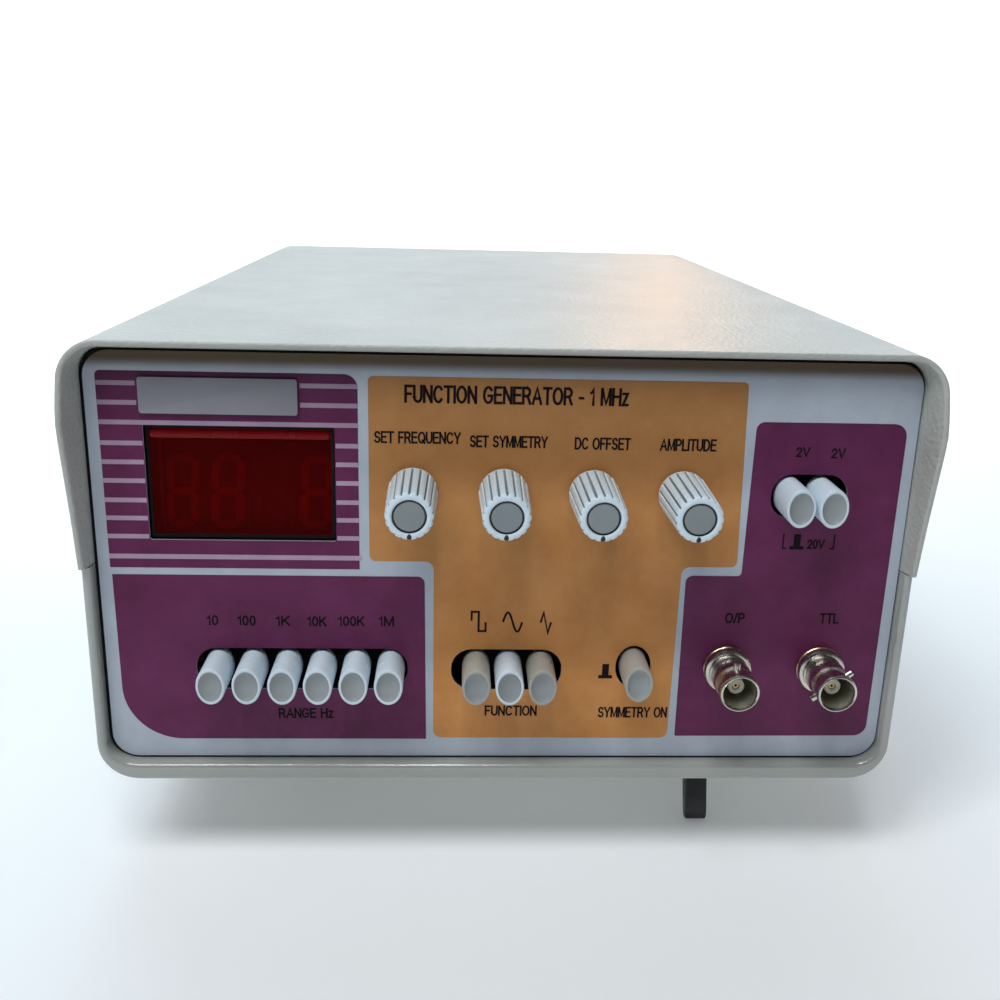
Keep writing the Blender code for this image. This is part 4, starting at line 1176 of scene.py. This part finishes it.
def make_fuse():
    """The fuse holder's barrel and its fluted cap with a screwdriver slot."""
    centre = (FUSE[0], REAR + 0.3, FUSE[1])
    x, base, z = centre
    barrel = [(0, -24), (4.5, -24), (4.5, 1.5), (4.7, 1.8), (7.4, 1.8), (7.9, 1.3), (7.9, 0.0),
              (5.9, 0.0), (5.9, -26), (0, -26)]
    turned("fuse_barrel", barrel, centre, 40, BLACK, "rear", stands_for=["fuse_holder"],
           slot="black_plastic")
    flutes = 20
    count = 3 * flutes
    bm = bmesh.new()
    rows = []
    for out, radius, depth in ((2.1, 6.0, 0.0), (2.4, 6.2, 0.3), (8.6, 6.2, 0.35), (9.3, 5.9, 0.1),
                               (9.6, 5.5, 0.0)):
        row = []
        for i in range(count):
            turn = 2 * math.pi * i / count
            r = radius - depth * (0.5 + 0.5 * math.cos(turn * flutes))
            row.append(bm.verts.new((x + r * math.cos(turn), base + out, z + r * math.sin(turn))))
        rows.append(row)
    for first, second in zip(rows, rows[1:]):
        bridge(bm, first, second)
    bm.faces.new(rows[0])
    bm.faces.new(rows[-1])
    lathe_into(bm, [(0, 2.2), (4.2, 2.2), (4.2, -14), (0, -14)], centre, 24, "rear")
    # The screwdriver slot is a thin sheet of the darker black on the cap's face, not a cut: painted
    # shade standing for the slot's depth.
    box_into(bm, (x - 4.6, base + 9.55, z - 0.8), (x + 4.6, base + 9.6, z + 0.8), 1)
    place("fuse_grip", bm, [BLACK, BLACK_IN_SHADE], body="fuse_cap", stands_for=["fuse_cap"],
          slot="black_plastic")


def make_rear_screws():
    """The four screws in the corners of the rear panel."""
    head = [(0, 1.5), (0.8, 1.5), (0.9, 1.2), (1.0, 1.5), (2.2, 1.3), (2.9, 0.8), (3.0, 0.15),
            (0, 0.15)]
    for i, (x, z) in enumerate(((-90, 4), (90, 4), (-90, 90), (90, 90)), 1):
        turned(f"rear_screw_{i}", head, (x, REAR, z), 32, STEEL, "rear", slot="steel")


# ---- solids kept from the CAD

def repaint():
    """The solids that are shown with their CAD shape get looks of their own."""
    steel = ["potentiometer_" + label for label in KNOB_NAMES]
    steel += [f"knob_{label}_shaft" for label in KNOB_NAMES]
    finishes = (
        (BLACK, ["front_panel"]),
        (ALUMINIUM, ["rear_panel"]),
        (BOARD, ["display_board", "main_board"]),
        (WINDING, ["transformer_winding"]),
        (BLACK_IN_SHADE, ["range_switch_bank", "wave_switch_bank", "attenuator_switch_bank",
                      "symmetry_switch"]),
        (STEEL, ["transformer_core"] + steel),
    )
    for finish, names in finishes:
        for name in names:
            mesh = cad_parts[name].data
            mesh.materials.clear()
            mesh.materials.append(finish)


# ---- studio

def make_floor():
    """A white sweep: flat under the object, glowing more and more behind it and curving up."""
    bend = 0.8
    bend_y = 1.2
    turns = [math.radians(a) for a in range(10, 91, 10)]
    profile = [(-1.6, 0.0), (bend_y, 0.0)]
    profile += [(bend_y + bend * math.sin(t), bend - bend * math.cos(t)) for t in turns]
    profile += [(bend_y + bend, 3.0)]
    bm = bmesh.new()
    rows = [[bm.verts.new((x, y, z)) for x in (-3.0, 3.0)] for y, z in profile]
    for first, second in zip(rows, rows[1:]):
        bm.faces.new((first[0], first[1], second[1], second[0]))
    mesh = bpy.data.meshes.new("floor")
    bm.to_mesh(mesh)
    bm.free()
    mesh.shade_smooth()
    made, tree, shader = new_material("studio_white")
    tone(tree, shader, noise(tree, 3.0, 2.0, 0.5), (0.86, 0.86, 0.86), (0.88, 0.88, 0.88))
    shader.inputs["Roughness"].default_value = 0.9
    shader.inputs["Specular IOR Level"].default_value = 0.1
    shader.inputs["Emission Color"].default_value = (0.90, 0.96, 1.0, 1.0)
    split = tree.nodes.new("ShaderNodeSeparateXYZ")
    link(tree, coordinates(tree), split.inputs["Vector"])
    glow = to_range(tree, split.outputs["Y"], 0.18, 0.85, -0.05, 0.5)
    link(tree, glow, shader.inputs["Emission Strength"])
    mesh.materials.append(made)
    add("floor", mesh)


def make_lamp(name, spot, aim, wide, high, power, colour):
    data = bpy.data.lights.new(name, "AREA")
    data.shape = "RECTANGLE"
    data.size = wide
    data.size_y = high
    data.energy = power
    data.color = colour
    lamp = add(name, data)
    lamp.location = spot
    lamp.rotation_euler = (Vector(aim) - Vector(spot)).to_track_quat("-Z", "Y").to_euler()


def make_lamps():
    """A cool ceiling, a window of three panes ahead of the object and a warm one behind it."""
    world = bpy.data.worlds.new("studio")
    world.use_nodes = True
    back = world.node_tree.nodes["Background"]
    back.inputs["Color"].default_value = (0.90, 0.95, 1.0, 1.0)
    back.inputs["Strength"].default_value = 0.05
    bpy.context.scene.world = world
    make_lamp("ceiling_panel", (-0.15, 0.45, 1.0), (0, 0.08, 0.10), 0.7, 0.5, 3.65,
              (0.50, 0.76, 1.0))
    for i in range(3):
        x = -0.62 + 0.29 * i
        make_lamp(f"window_pane_{i + 1}", (x, -0.50, 1.12), (0.2 * x, -0.12, 0.08), 0.16, 0.42,
                  3.0, (0.92, 0.97, 1.0))
    make_lamp("warm_window", (0.285, 1.15, 0.50), (0.05, 0.1, 0.12), 0.10, 0.22, 0.74,
              (1.0, 0.38, 0.0))


def make_camera():
    """The view of the photo."""
    lens = bpy.data.cameras.new("camera")
    lens.lens = 36.445
    lens.sensor_width = 36.0
    lens.shift_y = -0.05
    lens.clip_start = 0.01
    lens.clip_end = 20.0
    eye = add("camera", lens)
    eye.location = origin + Vector(EYE_FROM_ORIGIN)
    eye.rotation_euler = tuple(math.radians(a) for a in EYE_TURN)
    bpy.context.scene.camera = eye
    bpy.context.scene.view_settings.view_transform = "Standard"


make_top_cover()
make_bottom_cover()
make_leg_lugs()
make_legs()
make_feet()
make_print()
make_panel_gap()
make_words()
make_label()
make_readout()
make_buttons()
for knob_label, knob_x in zip(KNOB_NAMES, KNOB_X):
    make_knob(knob_label, knob_x)
make_bnc("output", BNC_X[0], 0.0)
make_bnc("ttl", BNC_X[1], math.radians(52.0))
make_inlet()
make_switch()
make_fuse()
make_rear_screws()
repaint()
make_floor()
make_lamps()
make_camera()
